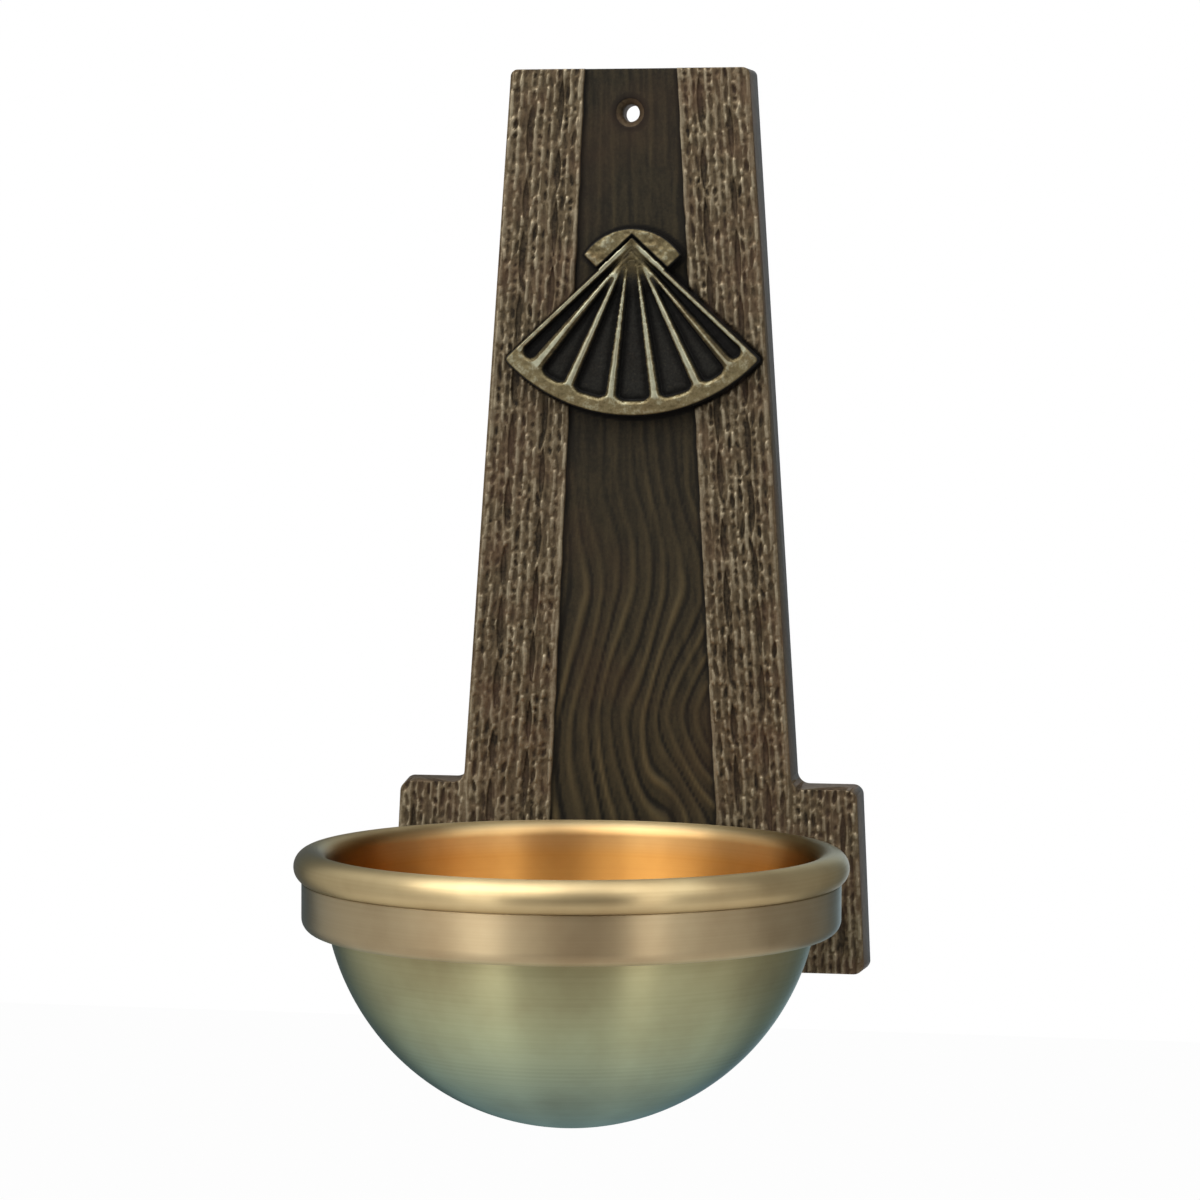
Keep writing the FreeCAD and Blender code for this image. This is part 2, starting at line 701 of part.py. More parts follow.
def make_outer_bowl():
    """Turned bowl: straight band, ledge under it, round bottom. Reference point: axis, at the seat."""
    body = new_body("outer_bowl", ZERO, -D["bowl_reach"], -D["seat_drop"])
    profile = new_sketch(body, "bowl_profile", "XZ_Plane")
    wall = D["bowl_wall"]
    inside = D["bowl_radius"] - wall
    inner_ledge = D["band_height"] - wall
    chamfer = D["band_corner"] - wall
    band_inside = D["band_radius"] - wall
    add_outline(profile, [
        (band_inside, ZERO),
        (band_inside, -(D["band_height"] - D["band_corner"])),
        (band_inside - chamfer, -inner_ledge),
        (sphere_side(inside, inner_ledge), -inner_ledge, -inside),
        (ZERO, D["bowl_centre"] - inside),
        (ZERO, D["bowl_centre"] - D["bowl_radius"], D["bowl_radius"]),
        (sphere_side(D["bowl_radius"], D["band_height"]), -D["band_height"]),
        (D["band_radius"] - D["band_corner"], -D["band_height"], D["band_corner"]),
        (D["band_radius"], -(D["band_height"] - D["band_corner"])),
        (D["band_radius"], ZERO),
    ])
    turn(body, "Revolution", "turned_bowl", profile)
    drill_for_holders(body, "holder_hole", D["holder_radius"] + D["holder_room"],
                      band_inside - CUT_MARGIN, D["band_radius"] + CUT_MARGIN)
    return body


def drill_for_holders(body, name, radius, first, last):
    """Two radial holes through or into the wall side, one each side of the centre line."""
    for label, side in (("left", -1), ("right", 1)):
        bearing = D["holder_turn"] / 2 * side
        sketch = body.newObject("Sketcher::SketchObject", name + "_" + label + "_outline")
        sketch.AttachmentSupport = (origin_part(body, "XZ_Plane"), [""])
        sketch.MapMode = "FlatFace"
        turned = FreeCAD.Rotation(FreeCAD.Vector(0, 1, 0), -bearing.number)
        direction = FreeCAD.Vector(math.sin(math.radians(bearing.number)),
                                   0, -math.cos(math.radians(bearing.number)))
        sketch.AttachmentOffset = FreeCAD.Placement(direction * first.number, turned)
        add_circle(sketch, ZERO, -D["holder_drop"], radius)
        extrude(body, "Pocket", name + "_" + label, sketch, last - first)


def make_liner():
    """Inner bowl with the rim bead. Reference point: axis, at the seat."""
    body = new_body("liner", ZERO, -D["bowl_reach"], -D["seat_drop"])
    profile = new_sketch(body, "liner_profile", "XZ_Plane")
    outside = D["bowl_radius"] - D["bowl_wall"] - D["liner_gap"]
    inside = outside - D["liner_wall"]
    bead_middle = D["rim_radius"] - D["bead_radius"]
    bead_inside = bead_middle - D["bead_radius"]
    under_bead = bead_middle + other_side(D["bead_radius"], D["bead_rise"])
    register = D["band_radius"] - D["bowl_wall"] - D["register_room"]
    flare = (bead_inside - sphere_side(inside, D["flare_start"])) / (D["flare_start"] + D["bead_rise"])
    outer_foot = sphere_side(outside, D["flare_start"])
    wall_under_register = outer_foot + (D["flare_start"] - D["register_depth"]) * flare
    add_outline(profile, [
        (bead_inside, D["bead_rise"]),
        (sphere_side(inside, D["flare_start"]), -D["flare_start"], -inside),
        (ZERO, D["bowl_centre"] - inside),
        (ZERO, D["bowl_centre"] - outside, outside),
        (outer_foot, -D["flare_start"]),
        (wall_under_register, -D["register_depth"]),
        (register, -D["register_depth"]),
        (register, ZERO),
        (under_bead, ZERO, D["bead_radius"]),
        (D["rim_radius"], D["bead_rise"], D["bead_radius"]),
        (bead_middle, D["bead_rise"] + D["bead_radius"], D["bead_radius"]),
    ])
    turn(body, "Revolution", "turned_liner", profile)
    return body


def make_bracket():
    """Cast saddle. It bears on the band and carries the ledge. Reference point: bowl's axis, at the seat."""
    body = new_body("bowl_bracket", ZERO, -D["bowl_reach"], -D["seat_drop"])
    back = D["bowl_reach"] - FLOOR_LIFT
    side = new_sketch(body, "bracket_side", "YZ_Plane")
    add_outline(side, [
        (back, -D["bracket_top"]),
        (D["lip_reach"], -D["bracket_top"]),
        (D["lip_reach"], -D["lip_under"]),
        (back - D["base_thick"], -D["bracket_foot"] + D["base_thick"] / 2),
        (back - D["base_thick"], -D["bracket_foot"]),
        (back, -D["bracket_foot"]),
    ])
    block = extrude(body, "Pad", "saddle_block", side, D["bracket_half"] * 2, middle=True)

    back_plane = back.number

    def outer_upright(a, b):
        return abs(a.x - b.x) < NEAR and abs(a.x) > NEAR and max(a.y, b.y) < back_plane - NEAR

    dress(body, "Fillet", "saddle_rounds", block, find_edges(block, outer_upright), D["bracket_round"])

    room = new_sketch(body, "bowl_room", "XZ_Plane")
    clear = D["bowl_radius"] + D["bracket_room"]
    add_outline(room, [
        (ZERO, ZERO),
        (ZERO, D["bowl_centre"] - clear, clear),
        (sphere_side(clear, D["band_height"]), -D["band_height"]),
        (D["band_radius"], -D["band_height"]),
        (D["band_radius"], ZERO),
    ])
    turn(body, "Groove", "saddle_seat", room)

    drill_for_holders(body, "holder_thread", D["holder_radius"] + D["thread_room"],
                      D["band_radius"] - CUT_MARGIN, D["holder_reach"] + D["thread_spare"])
    threads = new_sketch(body, "fixing_threads", "XZ_Plane", -back)
    for drop in (D["fixing_high"], D["fixing_low"]):
        add_circle(threads, ZERO, -drop, D["fixing_radius"] + D["thread_room"])
    extrude(body, "Pocket", "fixing_thread_cuts", threads, D["fixing_grip"] + D["thread_spare"], flipped=True)
    return body


def make_bracket_fasteners():
    """Washers and screws that hold the bracket, put in from the hollow back of the plate."""
    high = -D["seat_drop"] - D["fixing_high"]
    gap = D["fixing_low"] - D["fixing_high"]
    washers = new_body("bracket_washers", ZERO, -D["hollow_depth"], high)
    ring = new_sketch(washers, "fixing_washer_outline", "XZ_Plane")
    add_circle(ring, ZERO, ZERO, D["fixing_washer"])
    add_circle(ring, ZERO, ZERO, D["fixing_radius"] + D["fixing_room"])
    disc = extrude(washers, "Pad", "fixing_disc", ring, D["washer_thick"], flipped=True)
    repeat_down(washers, disc, gap)

    screws = new_body("bracket_screws", ZERO, -D["hollow_depth"] + D["washer_thick"], high)
    profile = new_sketch(screws, "fixing_profile", "YZ_Plane")
    reach = D["washer_thick"] + FLOOR_LIFT - D["hollow_depth"] + D["fixing_grip"]
    add_outline(profile, [
        (ZERO, D["fixing_radius"]),
        (-reach, D["fixing_radius"]),
        (-reach, ZERO),
        (D["fixing_head_high"], ZERO),
        (D["fixing_head_high"], D["fixing_head_edge"]),
        (D["fixing_head_high"] / 2, D["fixing_head"]),
        (ZERO, D["fixing_head"]),
    ])
    screw = turn(screws, "Revolution", "fixing_screw", profile, ("H_Axis",))
    repeat_down(screws, screw, gap)
    return [washers, screws]


def repeat_round(body, features):
    """A second copy of the features, turned about the bowl's axis to the other screw's place."""
    body.Placement.Rotation = FreeCAD.Rotation(FreeCAD.Vector(0, 0, 1), -D["holder_turn"].number / 2)
    pattern = body.newObject("PartDesign::PolarPattern", features[0].Name + "_pair")
    pattern.Originals = features
    pattern.Axis = (origin_part(body, "Z_Axis"), [""])
    pattern.Angle = D["holder_turn"].number
    bind(pattern, "Angle", D["holder_turn"])
    pattern.Occurrences = 2
    body.Tip = pattern
    DOCUMENT.recompute()


def make_holders():
    """Radial screws that hold the bowl to the bracket, with sealing washers shaped to the band."""
    washer_face = D["holder_washer_face"]
    band_inside = D["band_radius"] - D["bowl_wall"]
    drop = D["holder_drop"]

    screws = new_body("bowl_screws", ZERO, -D["bowl_reach"], -D["seat_drop"] - drop)
    profile = new_sketch(screws, "holder_profile", "YZ_Plane")
    head_face = washer_face - D["holder_head_high"]
    add_outline(profile, [
        (head_face, ZERO),
        (head_face, D["holder_head_edge"]),
        (washer_face - D["holder_head_high"] / 2, D["holder_head"]),
        (washer_face, D["holder_head"]),
        (washer_face, D["holder_radius"]),
        (D["holder_reach"], D["holder_radius"]),
        (D["holder_reach"], ZERO),
    ])
    screw = turn(screws, "Revolution", "holder_screw", profile, ("H_Axis",))
    repeat_round(screws, [screw])

    washers = new_body("bowl_washers", ZERO, -D["bowl_reach"], -D["seat_drop"] - drop)
    ring = new_sketch(washers, "holder_washer_outline", "XZ_Plane", -washer_face)
    add_circle(ring, ZERO, ZERO, D["holder_washer"])
    add_circle(ring, ZERO, ZERO, D["holder_radius"] + D["thread_room"])
    disc = extrude(washers, "Pad", "holder_disc", ring, (band_inside - washer_face) * 2, flipped=True)
    trim = new_sketch(washers, "washer_trim", "XY_Plane", -D["holder_washer"] * 2)
    add_circle(trim, ZERO, ZERO, D["band_radius"] + CUT_MARGIN)
    add_circle(trim, ZERO, ZERO, band_inside)
    cut = extrude(washers, "Pocket", "shape_to_band", trim, D["holder_washer"] * 4, flipped=True)
    repeat_round(washers, [disc, cut])
    return [screws, washers]


def check_all():
    for thing in DOCUMENT.Objects:
        if "Invalid" in thing.State or "Error" in thing.State:
            raise RuntimeError("%s is %s" % (thing.Name, thing.State))


def write(bodies):
    os.makedirs("parts", exist_ok=True)
    for body in bodies:
        shape = body.Shape
        if shape.isNull() or not shape.isValid():
            raise RuntimeError(body.Label + " has no valid shape")
        print("%-16s solids %d  volume %9.1f mm3  faces %d"
              % (body.Label, len(shape.Solids), shape.Volume, len(shape.Faces)))
    for body in bodies:
        body.Shape.exportStep("parts/" + body.Label + ".step")


bodies = [make_back_plate(), make_scallop_shell()]
bodies += make_shell_fasteners()
bodies += [make_outer_bowl(), make_liner(), make_bracket()]
bodies += make_bracket_fasteners()
bodies += make_holders()
DOCUMENT.recompute()
check_all()
write(bodies)
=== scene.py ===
"""Looks of the wall-hung holy water stoup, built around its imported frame.

Lengths are millimetres in the stoup's own frame until a mesh is made, and metres from there on: +Z up, the
wall is the plane Y = 0 and the front looks along -Y.
"""
import math
import random

import bmesh
import bpy
import numpy as np
from mathutils import Matrix, Vector


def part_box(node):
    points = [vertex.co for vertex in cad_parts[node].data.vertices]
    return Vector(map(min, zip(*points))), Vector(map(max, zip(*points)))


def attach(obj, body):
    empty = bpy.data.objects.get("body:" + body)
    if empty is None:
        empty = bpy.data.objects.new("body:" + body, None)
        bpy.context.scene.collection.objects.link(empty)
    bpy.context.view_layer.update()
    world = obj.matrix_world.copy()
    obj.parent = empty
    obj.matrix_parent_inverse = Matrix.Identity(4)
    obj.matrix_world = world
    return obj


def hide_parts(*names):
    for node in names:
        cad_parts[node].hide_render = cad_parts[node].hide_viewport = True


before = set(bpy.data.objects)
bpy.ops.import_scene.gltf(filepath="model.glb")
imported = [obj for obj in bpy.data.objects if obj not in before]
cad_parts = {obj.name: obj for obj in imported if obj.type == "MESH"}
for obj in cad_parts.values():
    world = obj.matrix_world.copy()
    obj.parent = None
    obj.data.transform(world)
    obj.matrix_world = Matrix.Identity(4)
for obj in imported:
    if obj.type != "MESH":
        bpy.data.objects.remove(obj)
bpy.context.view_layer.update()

MM = 0.001
MERGE = 0.001


def box_mm(node):
    """Lowest and highest corner of a CAD node, in millimetres."""
    low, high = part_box(node)
    return low / MM, high / MM


# ---- sizes, from the frame where it has them
PLATE_LOW, PLATE_HIGH = box_mm("back_plate")
BOWL_LOW, BOWL_HIGH = box_mm("outer_bowl")
SHELL_LOW, SHELL_HIGH = box_mm("scallop_shell")

PLATE_FACE = -PLATE_LOW.y
PLATE_TOP = PLATE_HIGH.z
PLATE_FOOT = PLATE_LOW.z
SIDE_DRAFT = 0.9
FOOT_HALF = PLATE_HIGH.x - SIDE_DRAFT
ARM_HALF = 71.8
ARM_HEIGHT = 56.8
ARM_TOP = PLATE_FOOT + ARM_HEIGHT
TOP_HALF = 37.1
NECK_HALF = 51.6
CHANNEL_DEPTH = 1.5
CHANNEL_LEFT = (13.8, 26.0)
CHANNEL_RIGHT = (14.6, 30.8)
SCREW_HOLE = 5.0

BOWL_AXIS_Y = (BOWL_LOW.y + BOWL_HIGH.y) / 2
SEAT_Z = BOWL_HIGH.z
BAND_RADIUS = BOWL_HIGH.x
BAND_HEIGHT = 14.4
BAND_CORNER = 4.0
BOWL_RADIUS = 71.5
BOWL_CENTRE = 0.5
BOWL_WALL = 1.6
LINER_GAP = 0.4
LINER_WALL = 1.2
FLARE_START = 16.5
RIM_RADIUS = box_mm("liner")[1].x
BEAD_RADIUS = 4.9
BEAD_RISE = 4.3
REGISTER_ROOM = 0.3
REGISTER_DEPTH = 2.0

SHELL_SHIFT = (SHELL_LOW.x + SHELL_HIGH.x) / 2
SHELL_BACK = PLATE_FACE
SHELL_DEPTH = -SHELL_LOW.y - SHELL_BACK
EAR_TOP = 3.1
FAN_POINT = SHELL_HIGH.z - EAR_TOP
FAN_RADIUS = FAN_POINT - SHELL_LOW.z
FAN_ANGLE = math.radians(47.2)
FAN_CORNER = 1.6
EAR_HALF = 15.4
EAR_SIDE = 5.2
EAR_FOOT_HALF = 10.6


# ---- meshes
def new_object(name, data):
    """Object in the scene, at its origin."""
    thing = bpy.data.objects.new(name, data)
    bpy.context.scene.collection.objects.link(thing)
    return thing


def make_piece(name, points, faces):
    """Mesh object from points in millimetres."""
    mesh = bpy.data.meshes.new(name)
    mesh.from_pydata((np.asarray(points, float) * MM).tolist(), [], [list(face) for face in faces])
    mesh.validate()
    return new_object(name, mesh)


def tidy_mesh(piece):
    """Merges points that meet and makes the faces agree, as a rule outwards."""
    work = bmesh.new()
    work.from_mesh(piece.data)
    bmesh.ops.remove_doubles(work, verts=work.verts, dist=MERGE * MM)
    bmesh.ops.recalc_face_normals(work, faces=work.faces)
    work.to_mesh(piece.data)
    work.free()
    return piece


def grid_faces(rows, columns, wrap=False):
    """Quads between points that are listed row by row."""
    index = np.arange(rows * columns).reshape(rows, columns)
    if wrap:
        index = np.hstack([index, index[:, :1]])
    corners = [index[:-1, :-1], index[:-1, 1:], index[1:, 1:], index[1:, :-1]]
    return np.stack(corners, axis=-1).reshape(-1, 4).tolist()


def ring_walls(front, back):
    """Quads between two closed rings of point numbers."""
    return list(zip(front, back, np.roll(back, -1), np.roll(front, -1)))


def copy_of(node, name):
    """Copy of a CAD node's solid, with its split points merged."""
    return tidy_mesh(new_object(name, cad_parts[node].data.copy()))


def combine(piece, other, operation):
    """Boolean of two closed meshes. The other one is used up."""
    modifier = piece.modifiers.new("combine", "BOOLEAN")
    modifier.operation = operation
    modifier.object = other
    modifier.solver = "MANIFOLD"
    depsgraph = bpy.context.evaluated_depsgraph_get()
    result = bpy.data.meshes.new_from_object(piece.evaluated_get(depsgraph))
    if not result.polygons:
        raise RuntimeError("%s: the boolean with %s left nothing" % (piece.name, other.name))
    piece.modifiers.clear()
    piece.data = result
    bpy.data.objects.remove(other)
    return piece


def smooth(piece, angle):
    """Smooth shading, with sharp edges where faces meet at more than the angle."""
    piece.data.shade_smooth()
    piece.data.set_sharp_from_angle(angle=math.radians(angle))
    return piece


def relief_block(name, across, up, lift, back):
    """Closed block whose front is a height map: arrays, by row and column, of places and heights."""
    def rim(grid):
        return np.concatenate([grid[0, :-1], grid[:-1, -1], grid[-1, :0:-1], grid[:0:-1, 0]])

    front = np.stack([across, -lift, up], axis=-1)
    behind = rim(front)
    behind[:, 1] = -back
    ring = np.arange(len(behind)) + lift.size
    walls = ring_walls(rim(np.arange(lift.size).reshape(lift.shape)), ring)
    points = np.concatenate([front.reshape(-1, 3), behind])
    return tidy_mesh(make_piece(name, points, grid_faces(*lift.shape) + walls + [ring]))


def prism(name, outline, front, back):
    """Closed block with an outline of (across, up) points, between two distances in front of the wall."""
    points = [(x, -lift, z) for lift in (front, back) for x, z in outline]
    ring = np.arange(len(outline))
    behind = ring + len(ring)
    return tidy_mesh(make_piece(name, points, [ring, behind[::-1]] + ring_walls(ring, behind)))


def rectangle(across, up):
    """Corners of a rectangle with these half sizes round the origin."""
    return [(-across, -up), (across, -up), (across, up), (-across, up)]


def arc(centre, radius, first, last, steps):
    """Points of an arc round (across, up), angles in radians from +across."""
    angles = np.linspace(first, last, steps + 1)
    return [(centre[0] + radius * math.cos(a), centre[1] + radius * math.sin(a)) for a in angles]


def soften(corners):
    """Replaces each corner (across, up, room) of an open outline by a small curve that starts room away."""
    points = []
    for index, corner in enumerate(corners):
        here = np.array(corner[:2])
        if len(corner) == 2:
            points.append(here)
            continue
        ways = [np.subtract(corners[index + step][:2], here) for step in (-1, 1)]
        start, end = (here + way / np.linalg.norm(way) * corner[2] for way in ways)
        points += [(1 - t) ** 2 * start + 2 * t * (1 - t) * here + t * t * end for t in np.linspace(0, 1, 5)]
    return [tuple(point) for point in points]


def circle_angles(count):
    return np.arange(count) * 2 * math.pi / count


def round_points(radius, height, angles):
    """Points of rings round the upright axis, ring by ring."""
    parts = np.broadcast_arrays(radius * np.cos(angles), radius * np.sin(angles), height)
    return np.stack(parts, axis=-1).reshape(-1, 3)


def lathe(name, outline, segments=48):
    """Solid turned round the frame's upright axis, from an outline of (radius, height) points."""
    if outline[0][0] > 0:
        outline = outline + outline[:1]
    radius, height = np.array(outline).T[:, :, None]
    points = round_points(radius, height, circle_angles(segments))
    return tidy_mesh(make_piece(name, points, grid_faces(len(outline), segments, wrap=True)))


def turn(angle, axis):
    """Rotation round an axis through the origin, angle in degrees."""
    return Matrix.Rotation(math.radians(angle), 4, axis)


def place(piece, matrix):
    """Moves the mesh itself and not the object, by a matrix in millimetres."""
    scaled = matrix.copy()
    scaled.translation = matrix.translation * MM
    piece.data.transform(scaled)
    return piece


def join(name, pieces):
    """One mesh object of several, as for a pair of equal fasteners."""
    work = bmesh.new()
    for piece in pieces:
        work.from_mesh(piece.data)
        bpy.data.objects.remove(piece)
    mesh = bpy.data.meshes.new(name)
    work.to_mesh(mesh)
    work.free()
    return new_object(name, mesh)


def store(piece, name, values):
    """Keeps one number per point of the mesh for the material to read."""
    attribute = piece.data.attributes.new(name, "FLOAT", "POINT")
    attribute.data.foreach_set("value", np.asarray(values, np.float32))


def points_mm(piece):
    """Across, depth and height of all points, in millimetres."""
    flat = np.zeros(len(piece.data.vertices) * 3)
    piece.data.vertices.foreach_get("co", flat)
    return flat.reshape(-1, 3).T / MM


def paint(piece, material):
    piece.data.materials.clear()
    piece.data.materials.append(material)


def stands_for(piece, node, body, material):
    """Puts a finished piece in the place of a CAD node."""
    paint(piece, material)
    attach(piece, body)
    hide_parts(node)


def ease(value):
    """Smooth step of a share that is clipped to 0 to 1."""
    value = np.clip(value, 0, 1)
    return value * value * (3 - 2 * value)


def from_line(x, z, start, end):
    """Distance of points from the line between two spots, and their place along it from 0 to 1."""
    way = np.subtract(end, start)
    along = np.clip(((x - start[0]) * way[0] + (z - start[1]) * way[1]) / (way @ way), 0, 1)
    return np.hypot(x - start[0] - along * way[0], z - start[1] - along * way[1]), along


def lumps(chance, shape, across, along):
    """Smooth random field from -1 to 1. Its lumps are this many columns and rows in size."""
    counts = (int(shape[0] / along) + 2, int(shape[1] / across) + 2)
    field = np.array([[chance.uniform(-1, 1) for _ in range(counts[1])] for _ in range(counts[0])])
    for size, count in ((along, shape[0]), (across, shape[1])):
        spot = np.arange(count) / size
        knot = spot.astype(int)
        share = ease(spot - knot)[:, None]
        field = (field[knot] * (1 - share) + field[knot + 1] * share).T
    return field


# ---- materials
class Graph:
    """Node graph of one material or world, with its main shader."""

    def __init__(self, name, world=False):
        self.owner = (bpy.data.worlds if world else bpy.data.materials).new(name)
        self.owner.use_nodes = True
        self.tree = self.owner.node_tree
        self.shader = self.tree.nodes["Background" if world else "Principled BSDF"]

    def put(self, node, key, value):
        """Gives an input another node's output, a number, a vector or a colour."""
        socket = node.inputs[key]
        if isinstance(value, bpy.types.NodeSocket):
            self.tree.links.new(value, socket)
        else:
            socket.default_value = (*value, 1.0) if socket.type == "RGBA" else value

    def fill(self, node, **inputs):
        for key, value in inputs.items():
            self.put(node, key.replace("_", " "), value)
        return node

    def set(self, **inputs):
        self.fill(self.shader, **inputs)

    def add(self, kind, settings=None, **inputs):
        node = self.tree.nodes.new("ShaderNode" + kind)
        for key, value in (settings or {}).items():
            setattr(node, key, value)
        return self.fill(node, **inputs)

    def place(self, **changes):
        """Object coordinates, in metres in the stoup's frame, moved or scaled by a Mapping node's inputs."""
        place = self.add("TexCoord").outputs["Object"]
        return self.add("Mapping", Vector=place, **changes).outputs["Vector"] if changes else place

    def noise(self, scale, detail=3.0, roughness=0.55, vector=None):
        """Noise from 0 to 1."""
        source = vector or self.place()
        node = self.add("TexNoise", Vector=source, Scale=scale, Detail=detail, Roughness=roughness)
        return node.outputs["Fac"]

    def math(self, operation, first, second):
        node = self.add("Math", {"operation": operation})
        self.put(node, 0, first)
        self.put(node, 1, second)
        return node.outputs[0]

    def spread(self, value, low, high, to_low=0.0, to_high=1.0):
        """Maps low..high to to_low..to_high, and clamps."""
        ends = {"From_Min": low, "From_Max": high, "To_Min": to_low, "To_Max": to_high}
        return self.add("MapRange", Value=value, **ends).outputs["Result"]

    def ramp(self, value, *stops):
        """Colour ramp of (position, display colour) stops."""
        node = self.add("ValToRGB", Fac=value)
        line = node.color_ramp.elements
        while len(line) < len(stops):
            line.new(1.0)
        for element, (position, colour) in zip(line, stops):
            element.position = position
            element.color = (*linear(*colour), 1.0)
        return node.outputs["Color"]

    def mix(self, factor, first, second, kind="MIX"):
        """Mix of two colours, the inputs 6 and 7 of its node."""
        node = self.add("Mix", {"data_type": "RGBA", "blend_type": kind}, Factor=factor)
        self.put(node, 6, first)
        self.put(node, 7, second)
        return node.outputs[2]

    def stored(self, name):
        return self.add("Attribute", {"attribute_name": name}).outputs["Fac"]

    def bump(self, height, distance, strength):
        """Bump of a height from 0 to 1, distance in millimetres."""
        node = self.add("Bump", Height=height, Distance=distance * MM, Strength=strength)
        self.set(Normal=node.outputs["Normal"])

    def backdrop(self):
        """1 for camera, glossy and transmission rays, else 0."""
        rays = self.add("LightPath").outputs
        seen = self.math("MAXIMUM", rays["Is Camera Ray"], rays["Is Glossy Ray"])
        return self.math("MAXIMUM", seen, rays["Is Transmission Ray"])

    def glow(self, strength):
        return self.add("Emission", Color=(1.0, 1.0, 1.0), Strength=strength).outputs[0]

    def show(self, surface):
        """Puts another surface in the main shader's place."""
        self.put(self.tree.nodes["Material Output"], "Surface", surface)


def linear(red, green, blue):
    """Display colour, 0 to 255, as the linear colour that a shader takes."""
    shares = (red / 255, green / 255, blue / 255)
    return tuple(s / 12.92 if s <= 0.04045 else ((s + 0.055) / 1.055) ** 2.4 for s in shares)


# Display colours. BRONZE_BLACK is the colour of the deepest painted shade.
BRONZE_BLACK = (17, 14, 10)
BRONZE_DARK = (38, 31, 21)
BRONZE_BROWN = (96, 83, 63)
BRONZE_WORN = (158, 146, 122)
BRONZE_RED = (98, 72, 56)
BRONZE_SIDE_SHEEN = (88, 94, 96)


def wear_and_shade_level(graph, wear_and_shade, grain):
    """The stored wear and painted shade with some grain, and 0 where the stored value is 0."""
    return graph.math("MULTIPLY", graph.math("ADD", wear_and_shade, grain), graph.spread(wear_and_shade, 0.0, 0.12))


def finish_bronze(graph, level, colour, bright_from, roughness, grain, strength):
    """Dull patina that turns to metal where it is rubbed, over a cast grain."""
    graph.set(Base_Color=colour, Specular_IOR_Level=0.15)
    graph.set(Metallic=graph.spread(level, 0.2, bright_from, 0.2, 0.85))
    graph.set(Roughness=graph.spread(level, 0.0, 1.0, *roughness))
    graph.bump(graph.noise(grain, 4.0, 0.7), 0.1, strength)
    return graph.owner


def cast_bronze():
    """Brown patina in the hollows of the casting, rubbed bright on its ridges, with painted shade, down to
    near black, along the shell, the channel's walls and round the screw hole.
    """
    graph = Graph("cast_bronze")
    fine = graph.spread(graph.noise(900.0, 4.0, 0.65), 0.3, 0.7, -0.09, 0.09)
    streaks = graph.noise(1.0, 3.0, 0.6, graph.place(Scale=(650.0, 650.0, 230.0)))
    in_channel = graph.stored("channel")
    grain = graph.math("ADD", fine, graph.spread(streaks, 0.3, 0.7, -0.1, 0.1))
    grain = graph.math("MULTIPLY", grain, graph.spread(in_channel, 0.0, 1.0, 1.0, 0.4))
    level = wear_and_shade_level(graph, graph.stored("wear_and_shade"), grain)
    band = graph.ramp(level, (0.0, BRONZE_BLACK), (0.2, BRONZE_DARK), (0.6, BRONZE_BROWN), (1.0, BRONZE_WORN))
    band = graph.mix(graph.spread(graph.noise(70.0), 0.45, 0.75, 0.0, 0.4), band, linear(*BRONZE_RED))
    channel = graph.ramp(level, (0.0, BRONZE_BLACK), (0.2, (34, 30, 22)), (1.0, (112, 98, 70)))
    stains = graph.spread(graph.noise(24.0), 0.5, 0.68, 0.0, 0.32)
    channel = graph.mix(stains, channel, linear(66, 48, 34))
    # Painted reflection: the plate's side walls take a flat blue-grey, standing for the sheen they show at a
    # grazing view.
    colour = graph.mix(graph.stored("side"), graph.mix(in_channel, band, channel), linear(*BRONZE_SIDE_SHEEN))
    return finish_bronze(graph, level, colour, 0.9, (0.68, 0.42), 1600.0, 0.5)


def shell_bronze():
    """As the plate, with the shell's ribs and border rubbed bright, and painted shade, near black, along its
    outline and side walls.
    """
    graph = Graph("shell_bronze")
    fine = graph.spread(graph.noise(1300.0, 4.0, 0.65), 0.3, 0.7, -0.09, 0.09)
    level = wear_and_shade_level(graph, graph.stored("wear_and_shade"), fine)
    colour = graph.ramp(
        level,
        (0.0, (13, 12, 10)),
        (0.2, (36, 35, 31)),
        (0.45, (80, 71, 48)),
        (0.65, (120, 109, 80)),
        (0.9, (178, 177, 152)),
    )
    patches = graph.spread(graph.noise(150.0), 0.45, 0.75, 0.0, 0.45)
    colour = graph.mix(patches, colour, linear(190, 158, 132), "MULTIPLY")
    return finish_bronze(graph, level, colour, 0.8, (0.62, 0.4), 1500.0, 0.45)


